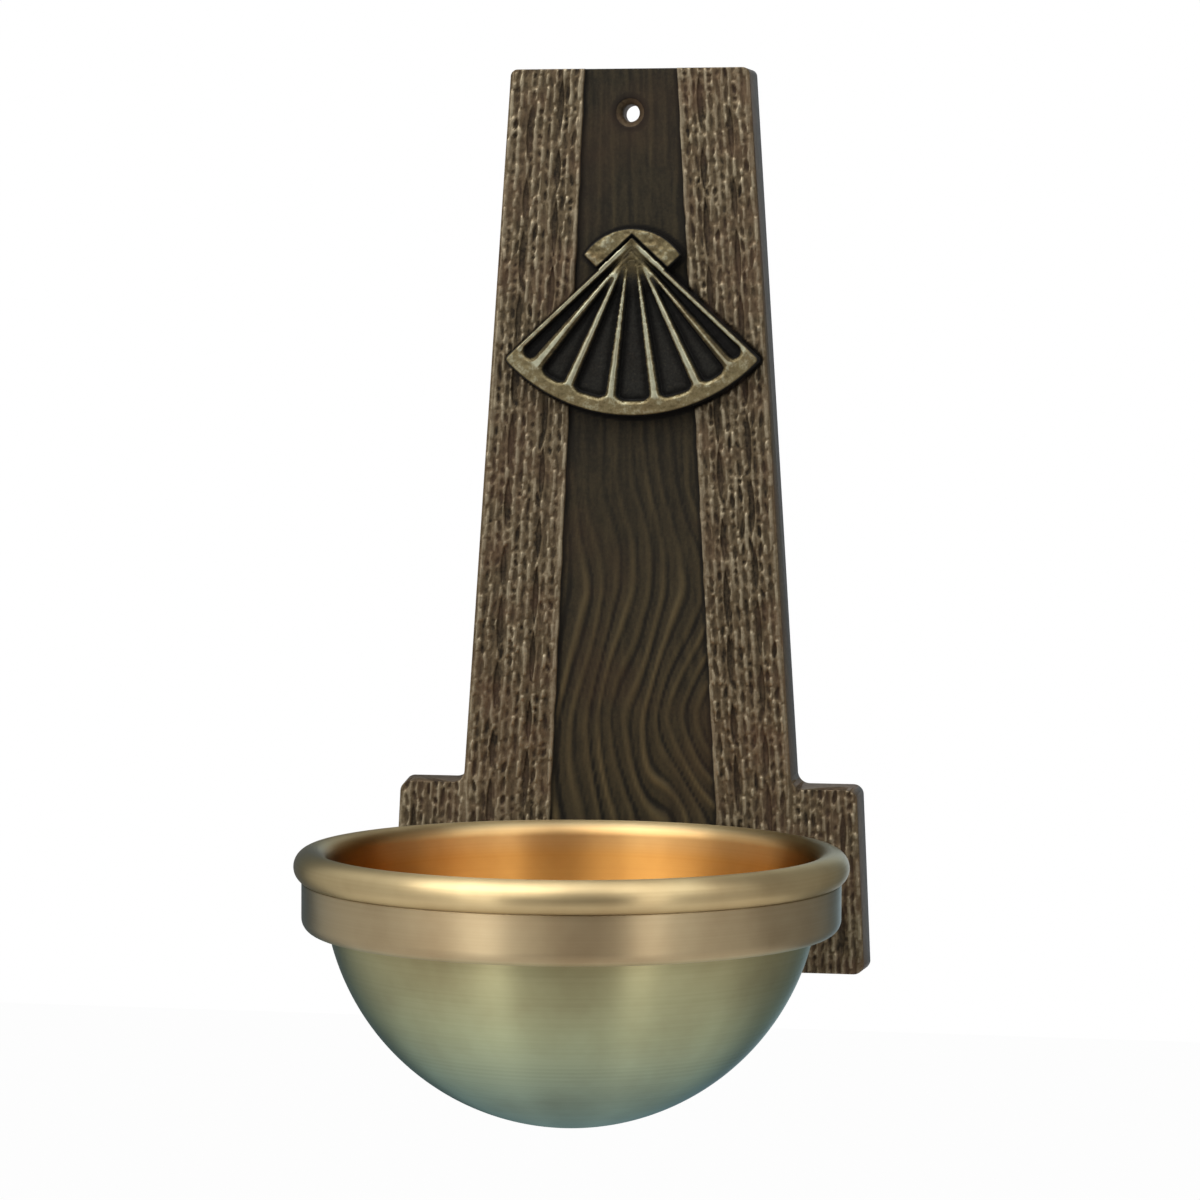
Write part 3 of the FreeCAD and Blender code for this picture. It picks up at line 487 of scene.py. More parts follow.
def turned_brass(name, node, roughness, edge, inside, *stops):
    """Satin brass with lathe lines round the bowl's axis, tinted by height and maybe anew inside the bead;
    these tints are painted reflection.
    """
    low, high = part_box(node)
    graph = Graph(name)
    centred = graph.place(Location=(0.0, -BOWL_AXIS_Y * MM, 0.0))
    parts = graph.add("SeparateXYZ", Vector=centred).outputs
    flat = graph.add("CombineXYZ", X=parts["X"], Y=parts["Y"]).outputs[0]
    radius = graph.add("VectorMath", {"operation": "LENGTH"}, Vector=flat).outputs["Value"]
    grooves = graph.noise(1500.0, 2.0, 0.6, graph.add("CombineXYZ", X=radius, Z=parts["Z"]).outputs[0])
    tint = graph.ramp(graph.spread(parts["Z"], low.z, high.z), *stops)
    # Painted reflection: a more saturated orange inside the bead, for light bounced about in the bowl.
    if inside:
        bead_inside = (RIM_RADIUS - 2 * BEAD_RADIUS) * MM
        tint = graph.mix(graph.spread(radius, bead_inside - MM, bead_inside + 2 * MM), inside, tint)
    clouds = graph.spread(graph.noise(30.0, 4.0), 0.4, 0.7, 0.0, 0.6)
    dulled = graph.mix(clouds, tint, linear(216, 204, 196), "MULTIPLY")
    graph.set(Base_Color=graph.mix(graph.spread(grooves, 0.4, 0.7, 0.0, 0.08), dulled, tint, "MULTIPLY"))
    graph.set(Metallic=1.0, Anisotropic=0.9, Anisotropic_Rotation=0.25, Specular_Tint=edge)
    graph.set(Roughness=graph.spread(grooves, 0.3, 0.7, roughness - 0.02, roughness + 0.03))
    graph.set(Tangent=graph.add("Tangent", {"direction_type": "RADIAL", "axis": "Z"}).outputs[0])
    graph.bump(grooves, 0.01, 0.12)
    return graph.owner


def mottled(name, pattern, metallic, roughness, relief, *stops, grain=None):
    """Plain material whose colour, roughness and bump follow one noise. The bump may have its own grain."""
    graph = Graph(name)
    spots = graph.noise(*pattern)
    graph.set(Base_Color=graph.ramp(spots, *stops), Metallic=metallic)
    graph.set(Roughness=graph.spread(spots, 0.3, 0.7, *roughness))
    graph.bump(graph.noise(grain) if grain else spots, *relief)
    return graph.owner


# ---- plate
BARK_DEPTH = 1.15
BARK_ROOM = 0.05
BARK_LEVEL = 0.46
BARK_STEP = 0.2
BARK_COLUMNS = 9
CREST_LENGTHS = (0.9, 1.5, 2.1, 2.8, 3.6, 4.8)
GROOVE_LENGTHS = (1.6, 2.6, 3.8, 5.4)
GROOVE_WALL = 0.35
FLOW_DEPTH = 0.5
FLOW_LEVEL = 0.21
FLOW_PITCH = 4.6
WALL_LEAN = 0.1
ROW_STEP = 0.64
# Columns over an arm, a band, the channel's wall, the channel, and so on to the other arm.
COLUMN_STEPS = (50, 58, 1, 60, 1, 58, 50)
CREVICE = 0.5
PLAIN_WORN = 0.42

# Fissures that the CAD plate has: middle below the top edge and length, repeated down two columns of each
# band, which lie at a share of its width and start lower by a distance.
FISSURES = [(11.0, 15.0), (31.0, 12.0), (49.0, 17.0)]
FISSURE_REPEAT = 57.0
FISSURE_COLUMNS = [(0.3, 0.0), (0.7, 9.0)]
FISSURE_HALF = 0.8
# Fissures at the end of each arm: middle above the bottom edge, length.
ARM_FISSURES = [(13.0, 15.0), (43.0, 13.0)]
ARM_FISSURE_INSET = 4.0


def down_share(z):
    """0 at the plate's top, 1 at its foot."""
    return (PLATE_TOP - z) / (PLATE_TOP - PLATE_FOOT)


def channel_edge(side, z):
    """Across position of the channel's left (-1) or right (1) edge."""
    top, foot = CHANNEL_LEFT if side < 0 else CHANNEL_RIGHT
    return side * (top + (foot - top) * down_share(z))


def wall_line(side, z):
    """The channel's edge with the small bays that the bark leaves along it."""
    bays = 0.5 + 0.3 * np.sin(z / 3.1 + side) + 0.2 * np.sin(z / 1.7 + 2 * side)
    return channel_edge(side, z) + side * 0.35 * bays


def side_line(side, z):
    """Across position of the upright's side, carried on straight down."""
    slope = (NECK_HALF - TOP_HALF) / (PLATE_TOP - ARM_TOP)
    return side * (TOP_HALF + (PLATE_TOP - z) * slope)


def upright_edge(side, z):
    """Across position of the upright's side, upright behind the arms."""
    return side_line(side, np.maximum(z, ARM_TOP))


def arm_edge(side, z):
    """Across position of an arm's end."""
    return side * (FOOT_HALF + (ARM_HALF - FOOT_HALF) * np.clip((z - PLATE_FOOT) / ARM_HEIGHT, 0, 1))


def between(side, inner, outer, share):
    """Line down the plate at a share of the way between two edges: its place across at a height."""
    return lambda z: inner(side, z) * (1 - share) + outer(side, z) * share


def in_channel(x, z, room):
    """Whether points lie between the channel's walls, or no further outside than the room."""
    return (x > wall_line(-1, z) - room) & (x < wall_line(1, z) + room)


class Relief:
    """Height map from 0 to 1 of the bark, on which crests are laid and into which grooves are cut."""

    def __init__(self, chance, low, high, step):
        self.low = low
        self.step = step
        shape = (int((high[1] - low[1]) / step) + 2, int((high[0] - low[0]) / step) + 2)
        coarse = lumps(chance, shape, 2.4 / step, 5.5 / step)
        fine = lumps(chance, shape, 0.8 / step, 2.2 / step)
        self.height = BARK_LEVEL + 0.16 * coarse + 0.13 * fine

    def near(self, start, end, reach):
        """Part of the map round a line, with each spot's distance from the line and place along it."""
        spans = []
        for axis, low in enumerate(self.low):
            first = int((min(start[axis], end[axis]) - reach - low) / self.step)
            last = int((max(start[axis], end[axis]) + reach - low) / self.step) + 2
            spans.append((max(first, 0), max(min(last, self.height.shape[1 - axis]), 0)))
        across, up = (low + np.arange(*span) * self.step for low, span in zip(self.low, spans))
        distance, along = from_line(*np.meshgrid(across, up), start, end)
        return self.height[slice(*spans[1]), slice(*spans[0])], distance, along

    def crest(self, start, end, half, height):
        """Rounded crest with round ends."""
        part, distance, _ = self.near(start, end, half)
        np.maximum(part, height * np.sqrt(np.clip(1 - (distance / half) ** 2, 0, 1)), out=part)

    def groove(self, start, end, half, floor):
        """Spindle-shaped groove, widest at its middle, with sloping walls."""
        part, distance, along = self.near(start, end, half + GROOVE_WALL)
        wide = half * (1 - (2 * along - 1) ** 2)
        wall = np.clip((distance - wide) / GROOVE_WALL, 0, 1)
        np.minimum(part, floor + (1.05 - floor) * wall, out=part)

    def at(self, x, z):
        """Height at any points, between the map's own."""
        rows, columns = self.height.shape
        column = np.clip((x - self.low[0]) / self.step, 0, columns - 1.001)
        row = np.clip((z - self.low[1]) / self.step, 0, rows - 1.001)
        c = column.astype(int)
        r = row.astype(int)
        u = column - c
        lower, upper = (self.height[line, c] * (1 - u) + self.height[line, c + 1] * u for line in (r, r + 1))
        return lower * (1 - row + r) + upper * (row - r)


def lay_crests(relief, chance, line, top):
    """One column of crests, end to end with gaps, each with a knee. line(z) gives the column's middle."""
    z = top + chance.uniform(0, 5)
    while z > PLATE_FOOT:
        length = chance.choice(CREST_LENGTHS) * chance.uniform(1.0, 1.4) / (1 + 0.3 * down_share(z))
        half = chance.uniform(0.5, 0.9)
        height = chance.uniform(0.7, 1.05)
        shift = chance.uniform(-0.75, 0.75)
        heights = [z - length * share for share in (0, chance.uniform(0.35, 0.65), 1)]
        spots = [(line(up) + shift + chance.uniform(-0.2, 0.2), up) for up in heights]
        for start, end in zip(spots, spots[1:]):
            relief.crest(start, end, half, height)
        z -= length + chance.uniform(0.8, 1.8)


def lay_grooves(relief, chance, line, top):
    """One column of grooves between two columns of crests, some of them slanting."""
    z = top + chance.uniform(0, 6)
    while z > PLATE_FOOT:
        length = chance.choice(GROOVE_LENGTHS) * chance.uniform(0.8, 1.25)
        slant = chance.uniform(-0.5, 0.5)
        start = (line(z) - slant, z)
        end = (line(z - length) + slant, z - length)
        relief.groove(start, end, chance.uniform(0.35, 0.65), chance.uniform(0.0, 0.25))
        z -= length + chance.uniform(0.2, 1.4)


def lay_edge(relief, chance, line, half):
    """Crests of mixed lengths with small gaps, along an edge."""
    z = PLATE_TOP + 2
    while z > PLATE_FOOT:
        length = chance.uniform(2, 11)
        start, end = ((line(up) + chance.uniform(-0.15, 0.15), up) for up in (z, z - length))
        relief.crest(start, end, half * chance.uniform(0.7, 1.1), chance.uniform(0.55, 0.95))
        z -= length + chance.uniform(-0.5, 1.6)


def cut_fissure(relief, line, middle, length):
    """Groove over one of the CAD plate's fissures, a little larger, to leave none of its walls."""
    half = length / 2 + 0.5
    start, end = ((line(up), up) for up in (middle + half, middle - half))
    relief.groove(start, end, FISSURE_HALF + 0.05, 0.1)


def make_bark():
    """Bark of the two bands and the arms: upright crests and grooves in loose columns."""
    chance = random.Random(11)
    relief = Relief(chance, (-FOOT_HALF - 3, PLATE_FOOT - 3), (FOOT_HALF + 3, PLATE_TOP + 3), BARK_STEP)
    beds = (channel_edge, upright_edge, PLATE_TOP), (upright_edge, arm_edge, ARM_TOP)
    repeats = int((PLATE_TOP - PLATE_FOOT) / FISSURE_REPEAT) + 1
    for side in (-1, 1):
        for first, lay in ((0.5, lay_crests), (1.0, lay_grooves)):
            for column in np.arange(first, BARK_COLUMNS):
                for inner, outer, top in beds:
                    lay(relief, chance, between(side, inner, outer, column / BARK_COLUMNS), top)
        lay_edge(relief, chance, lambda z: channel_edge(side, z) + side * 0.75, 0.8)
        lay_edge(relief, chance, lambda z: upright_edge(side, z) - side * 0.9, 0.45)
        for share, lower in FISSURE_COLUMNS:
            line = between(side, channel_edge, side_line, share)
            for step in range(repeats):
                for middle, length in FISSURES:
                    cut_fissure(relief, line, PLATE_TOP - middle - lower - FISSURE_REPEAT * step, length)
        for middle, length in ARM_FISSURES:
            cut_fissure(relief, lambda z: side * (ARM_HALF - ARM_FISSURE_INSET), PLATE_FOOT + middle, length)
    return relief


# How far the channel's grain wanders to the right at each height, and the sweep that its right edge adds.
FLOW_BENDS = [(15, 0), (-95, 0), (-115, 1.5), (-135, 8.5), (-147, 9.5), (-162, 4.5), (-186, -7), (-200, -8),
              (-265, -2)]
FLOW_SWEEP = [(15, 0), (-184, 0), (-192, 2), (-203, 8), (-217, 17), (-265, 22)]
# How strong the grain is at each distance below the upper screw hole.
FLOW_STRENGTH = [(0, 0.14), (95, 0.2), (150, 0.75), (215, 1.2)]


def smooth_curve(heights, pairs):
    """Smooth curve through (height, value) pairs."""
    known, values = np.array(sorted(pairs), float).T
    fine = np.arange(known[0], known[-1], 1.0)
    kernel = np.hanning(15)
    padded = np.pad(np.interp(fine, known, values), 7, mode="edge")
    return np.interp(heights, fine, np.convolve(padded, kernel / kernel.sum(), mode="valid"))


def flow_ridges(x, z):
    """Grain of the channel at a grid's points, 0 in its valleys and 1 on its crests."""
    left = channel_edge(-1, z)
    right = channel_edge(1, z)
    share = np.clip((x - left) / (right - left), 0, 1)
    wander = smooth_curve(z, FLOW_BENDS) * (0.5 + 0.5 * share) + smooth_curve(z, FLOW_SWEEP) * share
    middle_width = sum(CHANNEL_LEFT + CHANNEL_RIGHT) / 2
    straight = (x - wander - (left + right) / 2) * (middle_width / (right - left)) ** 0.5
    chance = random.Random(3)
    drift, fade, hair = (lumps(chance, x.shape, *size) for size in ((11, 45), (7, 30), (1.5, 26)))
    phase = straight / FLOW_PITCH + 0.34 * drift + 0.06 * np.sin(z / 9.5 - x / 5)
    line = np.floor(phase)
    saw = phase - line
    # Each grain line is a light crest with a dark groove on one side. The height is real relief, and because
    # the colour follows it, the pair also paints a lit ridge with shade on one side.
    light = ease(1 - np.abs(saw - 0.5) / 0.24) * (0.7 + 0.3 * np.sin(line * 2.4)) * (0.75 + 0.45 * fade)
    dark = ease(1 - np.abs(saw - 0.84) / 0.16) * (0.8 + 0.3 * np.sin(line * 3.7)) * (0.85 + 0.3 * fade)
    strength = np.interp(-z, *np.transpose(FLOW_STRENGTH))
    level = FLOW_LEVEL + 0.1 * strength + 0.06 * hair
    return np.clip(level + strength * (0.55 * light - 0.34 * dark), 0, 1)


def shell_shade(x, z, channel):
    """1 along the shell's outline, wider over the channel, and 0 away from it. It sinks the bark there and
    marks painted shade: the crevice round the shell and the shell's shadow on the channel.
    """
    gap = edge_distance(x - SHELL_SHIFT, z - FAN_POINT)
    width = np.where(channel, 2 * CREVICE, CREVICE)
    return np.clip(1 - (gap - width) / 0.5, 0, 1)


def plate_grid():
    """Places of the relief's points. Its columns follow the sides and the channel's walls."""
    up = np.arange(PLATE_FOOT - 1, PLATE_TOP + 1, ROW_STEP)
    left, right = ([arm_edge(side, up) + side, upright_edge(side, up), wall_line(side, up) + side * WALL_LEAN,
                    wall_line(side, up)] for side in (-1, 1))
    lines = left + right[::-1]
    columns = []
    for line, following, steps in zip(lines, lines[1:], COLUMN_STEPS):
        columns += [line + (following - line) * step / steps for step in range(steps)]
    across = np.stack(columns + lines[-1:], axis=1)
    return across, np.repeat(up[:, None], across.shape[1], axis=1)


def make_plate():
    """The CAD plate, with bark and grain cut into its front."""
    x, z = plate_grid()
    channel = in_channel(x, z, 0.01)
    bark_low = PLATE_FACE - BARK_ROOM - BARK_DEPTH
    flow_low = PLATE_FACE - CHANNEL_DEPTH - BARK_ROOM - FLOW_DEPTH
    bark = np.clip(make_bark().at(x, z), 0, 1) * (1 - shell_shade(x, z, channel))
    lift = np.where(channel, flow_low + FLOW_DEPTH * flow_ridges(x, z), bark_low + BARK_DEPTH * bark)
    block = relief_block("relief", x, z, lift, -2)
    plate = combine(copy_of("back_plate", "plate_casting"), block, "INTERSECT")

    x, depth, z = points_mm(plate)
    lift = -depth
    channel = in_channel(x, z, 0.02) & (lift < bark_low - 0.2) & (lift > flow_low - 0.1)
    raised = np.where(channel, (lift - flow_low) / FLOW_DEPTH, (lift - bark_low) / BARK_DEPTH)
    wear_and_shade = np.where(channel, 0.06, 0.2) + 0.8 * np.clip(raised, 0, 1)
    # Painted shade along both walls of the channel: its colour darkens towards each wall.
    from_wall = np.minimum(x - wall_line(-1, z), wall_line(1, z) - x)
    wear_and_shade *= np.where(channel, 0.3 + 0.7 * ease(from_wall / 1.6), 1)
    # Painted shade: the crevice round the shell and the shell's shadow on the channel, darkened in the
    # colour.
    wear_and_shade *= 1 - shell_shade(x, z, channel)
    # Painted shade: the colour darkens towards the upper screw hole.
    wear_and_shade *= 0.25 + 0.75 * np.clip((np.hypot(x, z) - SCREW_HOLE) / 1.5, 0, 1)
    outer = np.where(z > ARM_TOP + 3, upright_edge(1, z), arm_edge(1, z))
    store(plate, "wear_and_shade", np.where(lift < flow_low - 0.1, PLAIN_WORN, wear_and_shade))
    store(plate, "channel", channel)
    # Side walls for the painted blue-grey reflection.
    store(plate, "side", (np.abs(x) > outer - 0.5) & (lift < bark_low))
    return smooth(plate, 60)


# ---- scallop shell
FLUTE_REACH = 50.2
FLUTE_CORNER = 2.4
FLUTE_DEPTH = 3.3
FLUTE_WALL = 0.6
FLUTE_SPREAD = 0.2
# Flutes in the middle and on both sides, from the fan's point: start, angle and half width there, angle and
# half angle at the foot, and the distance at which the floor is fully down.
FLUTES = [
    (8.0, 0.0, 1.1, 0.0, 6.2, 20.0),
    (9.5, 15.5, 0.4, 16.1, 6.15, 18.0),
    (14.0, 27.0, 0.4, 30.8, 4.8, 20.0),
]
FLUTE_LEAN = math.radians(0.5)
GROOVE_DROP = 2.75
GROOVE_ANGLE = math.radians(44.8)
GROOVE_LENGTH = 45.0
GROOVE_TOP = 0.55
GROOVE_END = 2.3
HEM_WIDTH = 0.9
SHELL_GRAIN = 0.28
BORDER_BEVEL = 0.7


def shell_outline():
    """Fan with the arch above it, clockwise from the arch's left end, round the fan's point."""
    rise = EAR_TOP + EAR_SIDE
    arch_radius = (EAR_HALF ** 2 + rise ** 2) / (2 * rise)
    arch_angle = math.asin(EAR_HALF / arch_radius)
    quarter = math.pi / 2
    arch = arc((0.0, EAR_TOP - arch_radius), arch_radius, quarter + arch_angle, quarter - arch_angle, 28)
    fan = arc((0.0, 0.0), FAN_RADIUS, -quarter + FAN_ANGLE, -quarter - FAN_ANGLE, 72)
    fan[0] += (FAN_CORNER,)
    fan[-1] += (FAN_CORNER,)
    foot = -EAR_FOOT_HALF / math.tan(FAN_ANGLE)
    outline = [(-EAR_HALF, -EAR_SIDE)] + arch[1:-1] + [(EAR_HALF, -EAR_SIDE), (EAR_FOOT_HALF, foot)]
    return soften(outline + fan + [(-EAR_FOOT_HALF, foot)])


def edge_distance(x, z):
    """Distance from points to the shell's outline."""
    outline = shell_outline()
    nearest = np.full(x.shape, 1e9)
    for start, end in zip(outline, outline[1:] + outline[:1]):
        if start != end:
            np.minimum(nearest, from_line(x, z, start, end)[0], out=nearest)
    return nearest


def fan_distance(x, z):
    """Distance inside the fan from its two straight edges and its round border; negative outside."""
    side = np.cos(FAN_ANGLE) * -np.abs(x) - np.sin(FAN_ANGLE) * z
    return np.minimum(side, FAN_RADIUS - np.hypot(x, z))


def flute_inside(x, z, start, angle, half, foot_angle, foot_half):
    """How far points lie inside a flute: its sides widen, its foot follows the border, corners are round."""
    top = np.array([math.sin(angle), -math.cos(angle)]) * start
    way = np.array([math.sin(foot_angle), -math.cos(foot_angle)]) * FLUTE_REACH - top
    length = np.hypot(*way)
    way = way / length
    along = (x - top[0]) * way[0] + (z - top[1]) * way[1]
    beside = np.abs((x - top[0]) * way[1] - (z - top[1]) * way[0])
    width = half + (FLUTE_REACH * math.sin(foot_half) - half) * np.clip(along / length, 0, 1)
    side = np.where(along < 0, half - np.hypot(along, beside), width - beside)
    end = FLUTE_REACH - np.hypot(x, z)
    inside = np.minimum(side, end)
    corner = FLUTE_CORNER - np.hypot(FLUTE_CORNER - side, FLUTE_CORNER - end)
    in_corner = (inside > -1) & (np.maximum(side, end) < FLUTE_CORNER)
    return np.where(in_corner, np.minimum(corner, inside), inside)


def groove_inside(x, z):
    """How far points lie inside the angled groove that follows the fan's two straight sides."""
    drop = z + GROOVE_DROP
    along = np.abs(x) * math.sin(GROOVE_ANGLE) - drop * math.cos(GROOVE_ANGLE)
    beside = np.abs(np.abs(x) * math.cos(GROOVE_ANGLE) + drop * math.sin(GROOVE_ANGLE))
    past = along - GROOVE_LENGTH
    width = GROOVE_TOP + (GROOVE_END - GROOVE_TOP) * np.clip(along / GROOVE_LENGTH, 0, 1)
    return np.where(past < 0, width - beside, GROOVE_END - np.hypot(past, beside))


def flute_cut(x, z):
    """Depth of the flutes and the groove at each point, and how far inside one the point lies."""
    reach = np.hypot(x, z)
    inside = groove_inside(x, z)
    depth = FLUTE_DEPTH * ease(inside / FLUTE_WALL) ** 0.6 * (0.1 + 0.9 * ease((reach - 5) / 8))
    turned_x = x * math.cos(FLUTE_LEAN) + z * math.sin(FLUTE_LEAN)
    turned_z = z * math.cos(FLUTE_LEAN) - x * math.sin(FLUTE_LEAN)
    for start, angle, half, foot_angle, foot_half, full in FLUTES:
        for sign in (1, -1) if angle else (1,):
            turns = [math.radians(a) for a in (angle * sign, foot_angle * sign, foot_half)]
            deep = flute_inside(turned_x, turned_z, start, turns[0], half, turns[1], turns[2])
            deep = deep + FLUTE_SPREAD * (FLUTE_REACH - reach > 1)
            ramp = 0.1 + 0.9 * ease((reach - start) / (full - start))
            crown = 0.3 * ease((deep - FLUTE_WALL) / 2.5)
            floor = (FLUTE_DEPTH - crown) * ramp * ease(deep / FLUTE_WALL) ** 0.6
            depth = np.maximum(depth, floor)
            inside = np.maximum(inside, deep)
    return depth, inside


def shell_wear_and_shade(x, z, dimple):
    """How bright the shell is rubbed at each point of its face, with painted shade that darkens it towards
    its outline.
    """
    fan = fan_distance(x, z)
    cut, inside = flute_cut(x, z)
    reach = np.hypot(x, z)
    by_edge = fan < 2
    outer_rib = ease((np.arctan2(np.abs(x), -z) - 0.5) / 0.1) * ease((reach - 15) / 20)
    margin = np.clip(reach - 25, 0, 30) / 60 + 0.45 * outer_rib
    crest = ease((-inside - np.where(by_edge, 0, margin)) / 0.35)
    rise = np.where(by_edge, ease(reach / 6), ease((reach - 7) / 7))
    rib = 0.42 + 0.5 * rise * crest
    rib = rib + (0.64 - rib) * ease((reach - FLUTE_REACH + 1.6) / 1.5) + 0.1 * dimple
    floor = 0.03 + 0.12 * ease((inside - 0.7) / 2.5)
    floor = floor + (0.4 - floor) * (1 - ease((reach - 6) / 9))
    face = rib + (floor - rib) * np.sqrt(np.clip(cut / FLUTE_DEPTH, 0, 1))
    arch = (0.62 + 0.15 * dimple) * ease((-fan - HEM_WIDTH) / 0.5)
    # Painted shade: the shell darkens within 0.7 mm of its outline, for its shaded edge.
    return np.where(fan > 0, face, arch) * ease((edge_distance(x, z) - 0.1) / 0.6)


def make_shell():
    """Scallop shell: radial ribs between deep flutes, a border round them and a dimpled arch above."""
    across = np.arange(-42, 42, SHELL_GRAIN)
    up = np.arange(-FAN_RADIUS - 1, EAR_TOP + 1, SHELL_GRAIN)
    x, z = np.meshgrid(across, up)
    dimples = lumps(random.Random(5), x.shape, 1.5 / SHELL_GRAIN, 1.3 / SHELL_GRAIN)
    fan = fan_distance(x, z)
    cut, inside = flute_cut(x, z)
    hem = 1.1 * np.clip(1 - np.abs(fan + HEM_WIDTH / 2) / (HEM_WIDTH / 2), 0, 1)
    swell = 0.2 * np.clip(1 - np.abs(np.hypot(x, z) - 25) / 25, 0, 1)
    rib_round = 0.5 * ease(1 - np.abs(inside) / 0.9) * (inside < 0)
    fan_face = SHELL_DEPTH - 0.3 + 0.06 * dimples + swell - cut - rib_round
    face = np.where(fan > 0, fan_face, SHELL_DEPTH - 1.1 + 0.25 * dimples - hem)
    to_edge = 1 - np.clip(edge_distance(x, z) / BORDER_BEVEL, 0, 1)
    lift = SHELL_BACK + face - 1.2 * (1 - np.sqrt(1 - to_edge ** 2))
    block = relief_block("shell_relief", x, z, lift, SHELL_BACK - 1)
    # This prism's faces come out inwards, and the shell's with them.
    solid = prism("shell_solid", shell_outline(), SHELL_BACK + SHELL_DEPTH + 1, SHELL_BACK)
    shell = combine(block, solid, "INTERSECT")

    x, depth, z = points_mm(shell)
    row, column = (np.clip(np.rint((spots - line[0]) / SHELL_GRAIN).astype(int), 0, len(line) - 1)
                   for spots, line in ((z, up), (x, across)))
    # Painted shade: points within 0.8 mm of the shell's back, on its side walls, get no wear and come out
    # near black.
    store(shell, "wear_and_shade", shell_wear_and_shade(x, z, dimples[row, column]) * (-depth - SHELL_BACK > 0.8))
    shell.name = "shell_casting"
    place(shell, Matrix.Translation((SHELL_SHIFT, 0, FAN_POINT)))
    return smooth(shell, 78)


# ---- bowl and liner
def sphere_side(radius, drop):
    return math.sqrt(radius ** 2 - (BOWL_CENTRE + drop) ** 2)


def sphere_arc(radius, from_drop, steps):
    """Wall of the round bowl from its pole up to a depth below the seat."""
    last = math.atan2(-from_drop - BOWL_CENTRE, sphere_side(radius, from_drop))
    points = arc((0.0, BOWL_CENTRE), radius, -math.pi / 2, last, steps)
    return [(0.0, points[0][1])] + points[1:]


def to_bowl(piece):
    return place(piece, Matrix.Translation((0, BOWL_AXIS_Y, SEAT_Z)))


def make_outer_bowl():
    """Turned bowl with its stepped band, drilled for the two screws behind it."""
    band_inside = BAND_RADIUS - BOWL_WALL
    inner_corner = BAND_CORNER - BOWL_WALL
    ledge = BAND_HEIGHT - BOWL_WALL
    outline = sphere_arc(BOWL_RADIUS, BAND_HEIGHT, 64)
    outline += arc((BAND_RADIUS - BAND_CORNER, -BAND_HEIGHT + BAND_CORNER), BAND_CORNER, -math.pi / 2, 0, 12)
    outline += soften([(BAND_RADIUS, -5), (BAND_RADIUS, 0, 0.5), (band_inside, 0, 0.4), (band_inside, -5)])
    outline += [(band_inside, -BAND_HEIGHT + BAND_CORNER), (band_inside - inner_corner, -ledge)]
    outline += sphere_arc(BOWL_RADIUS - BOWL_WALL, ledge, 64)[::-1]
    bowl = to_bowl(lathe("bowl_turning", outline, 224))
    for bearing in HOLDER_BEARINGS:
        drill = lathe("drill", [(0, 70), (HOLDER_HOLE, 70), (HOLDER_HOLE, 84), (0, 84)], 32)
        combine(bowl, place(drill, holder_place(bearing)), "DIFFERENCE")
    return smooth(bowl, 35)


def make_liner():
    """Inner bowl with its rolled bead and the locating ring under it."""
    outside = BOWL_RADIUS - BOWL_WALL - LINER_GAP
    inside = outside - LINER_WALL
    bead_middle = RIM_RADIUS - BEAD_RADIUS
    register = BAND_RADIUS - BOWL_WALL - REGISTER_ROOM
    flare = (bead_middle - BEAD_RADIUS - sphere_side(inside, FLARE_START)) / (FLARE_START + BEAD_RISE)
    under_register = sphere_side(outside, FLARE_START) + (FLARE_START - REGISTER_DEPTH) * flare
    outline = sphere_arc(outside, FLARE_START, 56)
    outline += soften([(under_register - 0.5, -REGISTER_DEPTH - 2), (under_register, -REGISTER_DEPTH),
                       (register, -REGISTER_DEPTH, 0.3), (register, 0)])
    start = -math.asin(BEAD_RISE / BEAD_RADIUS)
    outline += arc((bead_middle, BEAD_RISE), BEAD_RADIUS, start, math.pi, 44)
    outline += sphere_arc(inside, FLARE_START, 56)[::-1]
    return smooth(to_bowl(lathe("liner_turning", outline, 256)), 35)


# ---- fasteners
HOLDER_BEARINGS = (-10.0, 10.0)
HOLDER_DROP = 6.5
HOLDER_HOLE = 2.2
HOLDER_FACE = 75.1
HOLDER_REACH = 87.0
# Radius, head radius and height, pitch and plain length of the two kinds of screw.
HOLDER_SCREW = (2.0, 3.3, 2.2, 0.8, 1.5)
FIXING_SCREW = (2.5, 4.6, 3.2, 0.9, 4.0)
FIXING_DROPS = (8.0, 26.0)
FIXING_GRIP = 9.0
THREAD_DEPTH = 0.25
ROD_SIDES = 32
STUD_RADIUS = 2.0
STUD_PITCH = 0.8
STUD_DROPS = (18.0, 42.0)
STUD_REACH = 9.8
HOLLOW_DEPTH = 7.0
WASHER_THICK = 1.0
# Radius and bore of the two kinds of washer.
STUD_WASHER = (4.5, 2.2)
FIXING_WASHER = (5.0, 2.75)
NUT_FLATS = 7.0
NUT_THICK = 3.2

LYING = turn(-90, "X")


def holder_place(bearing):
    """Lays a piece turned round +Z along one of the bowl's radial screws, heights from the bowl's axis."""
    return Matrix.Translation((0, BOWL_AXIS_Y, SEAT_Z - HOLDER_DROP)) @ turn(bearing, "Z") @ LYING


def into_wall(across, lift, up):
    """Lays a piece turned round +Z so that it points from a spot back to the wall."""
    return Matrix.Translation((across, -lift, up)) @ LYING


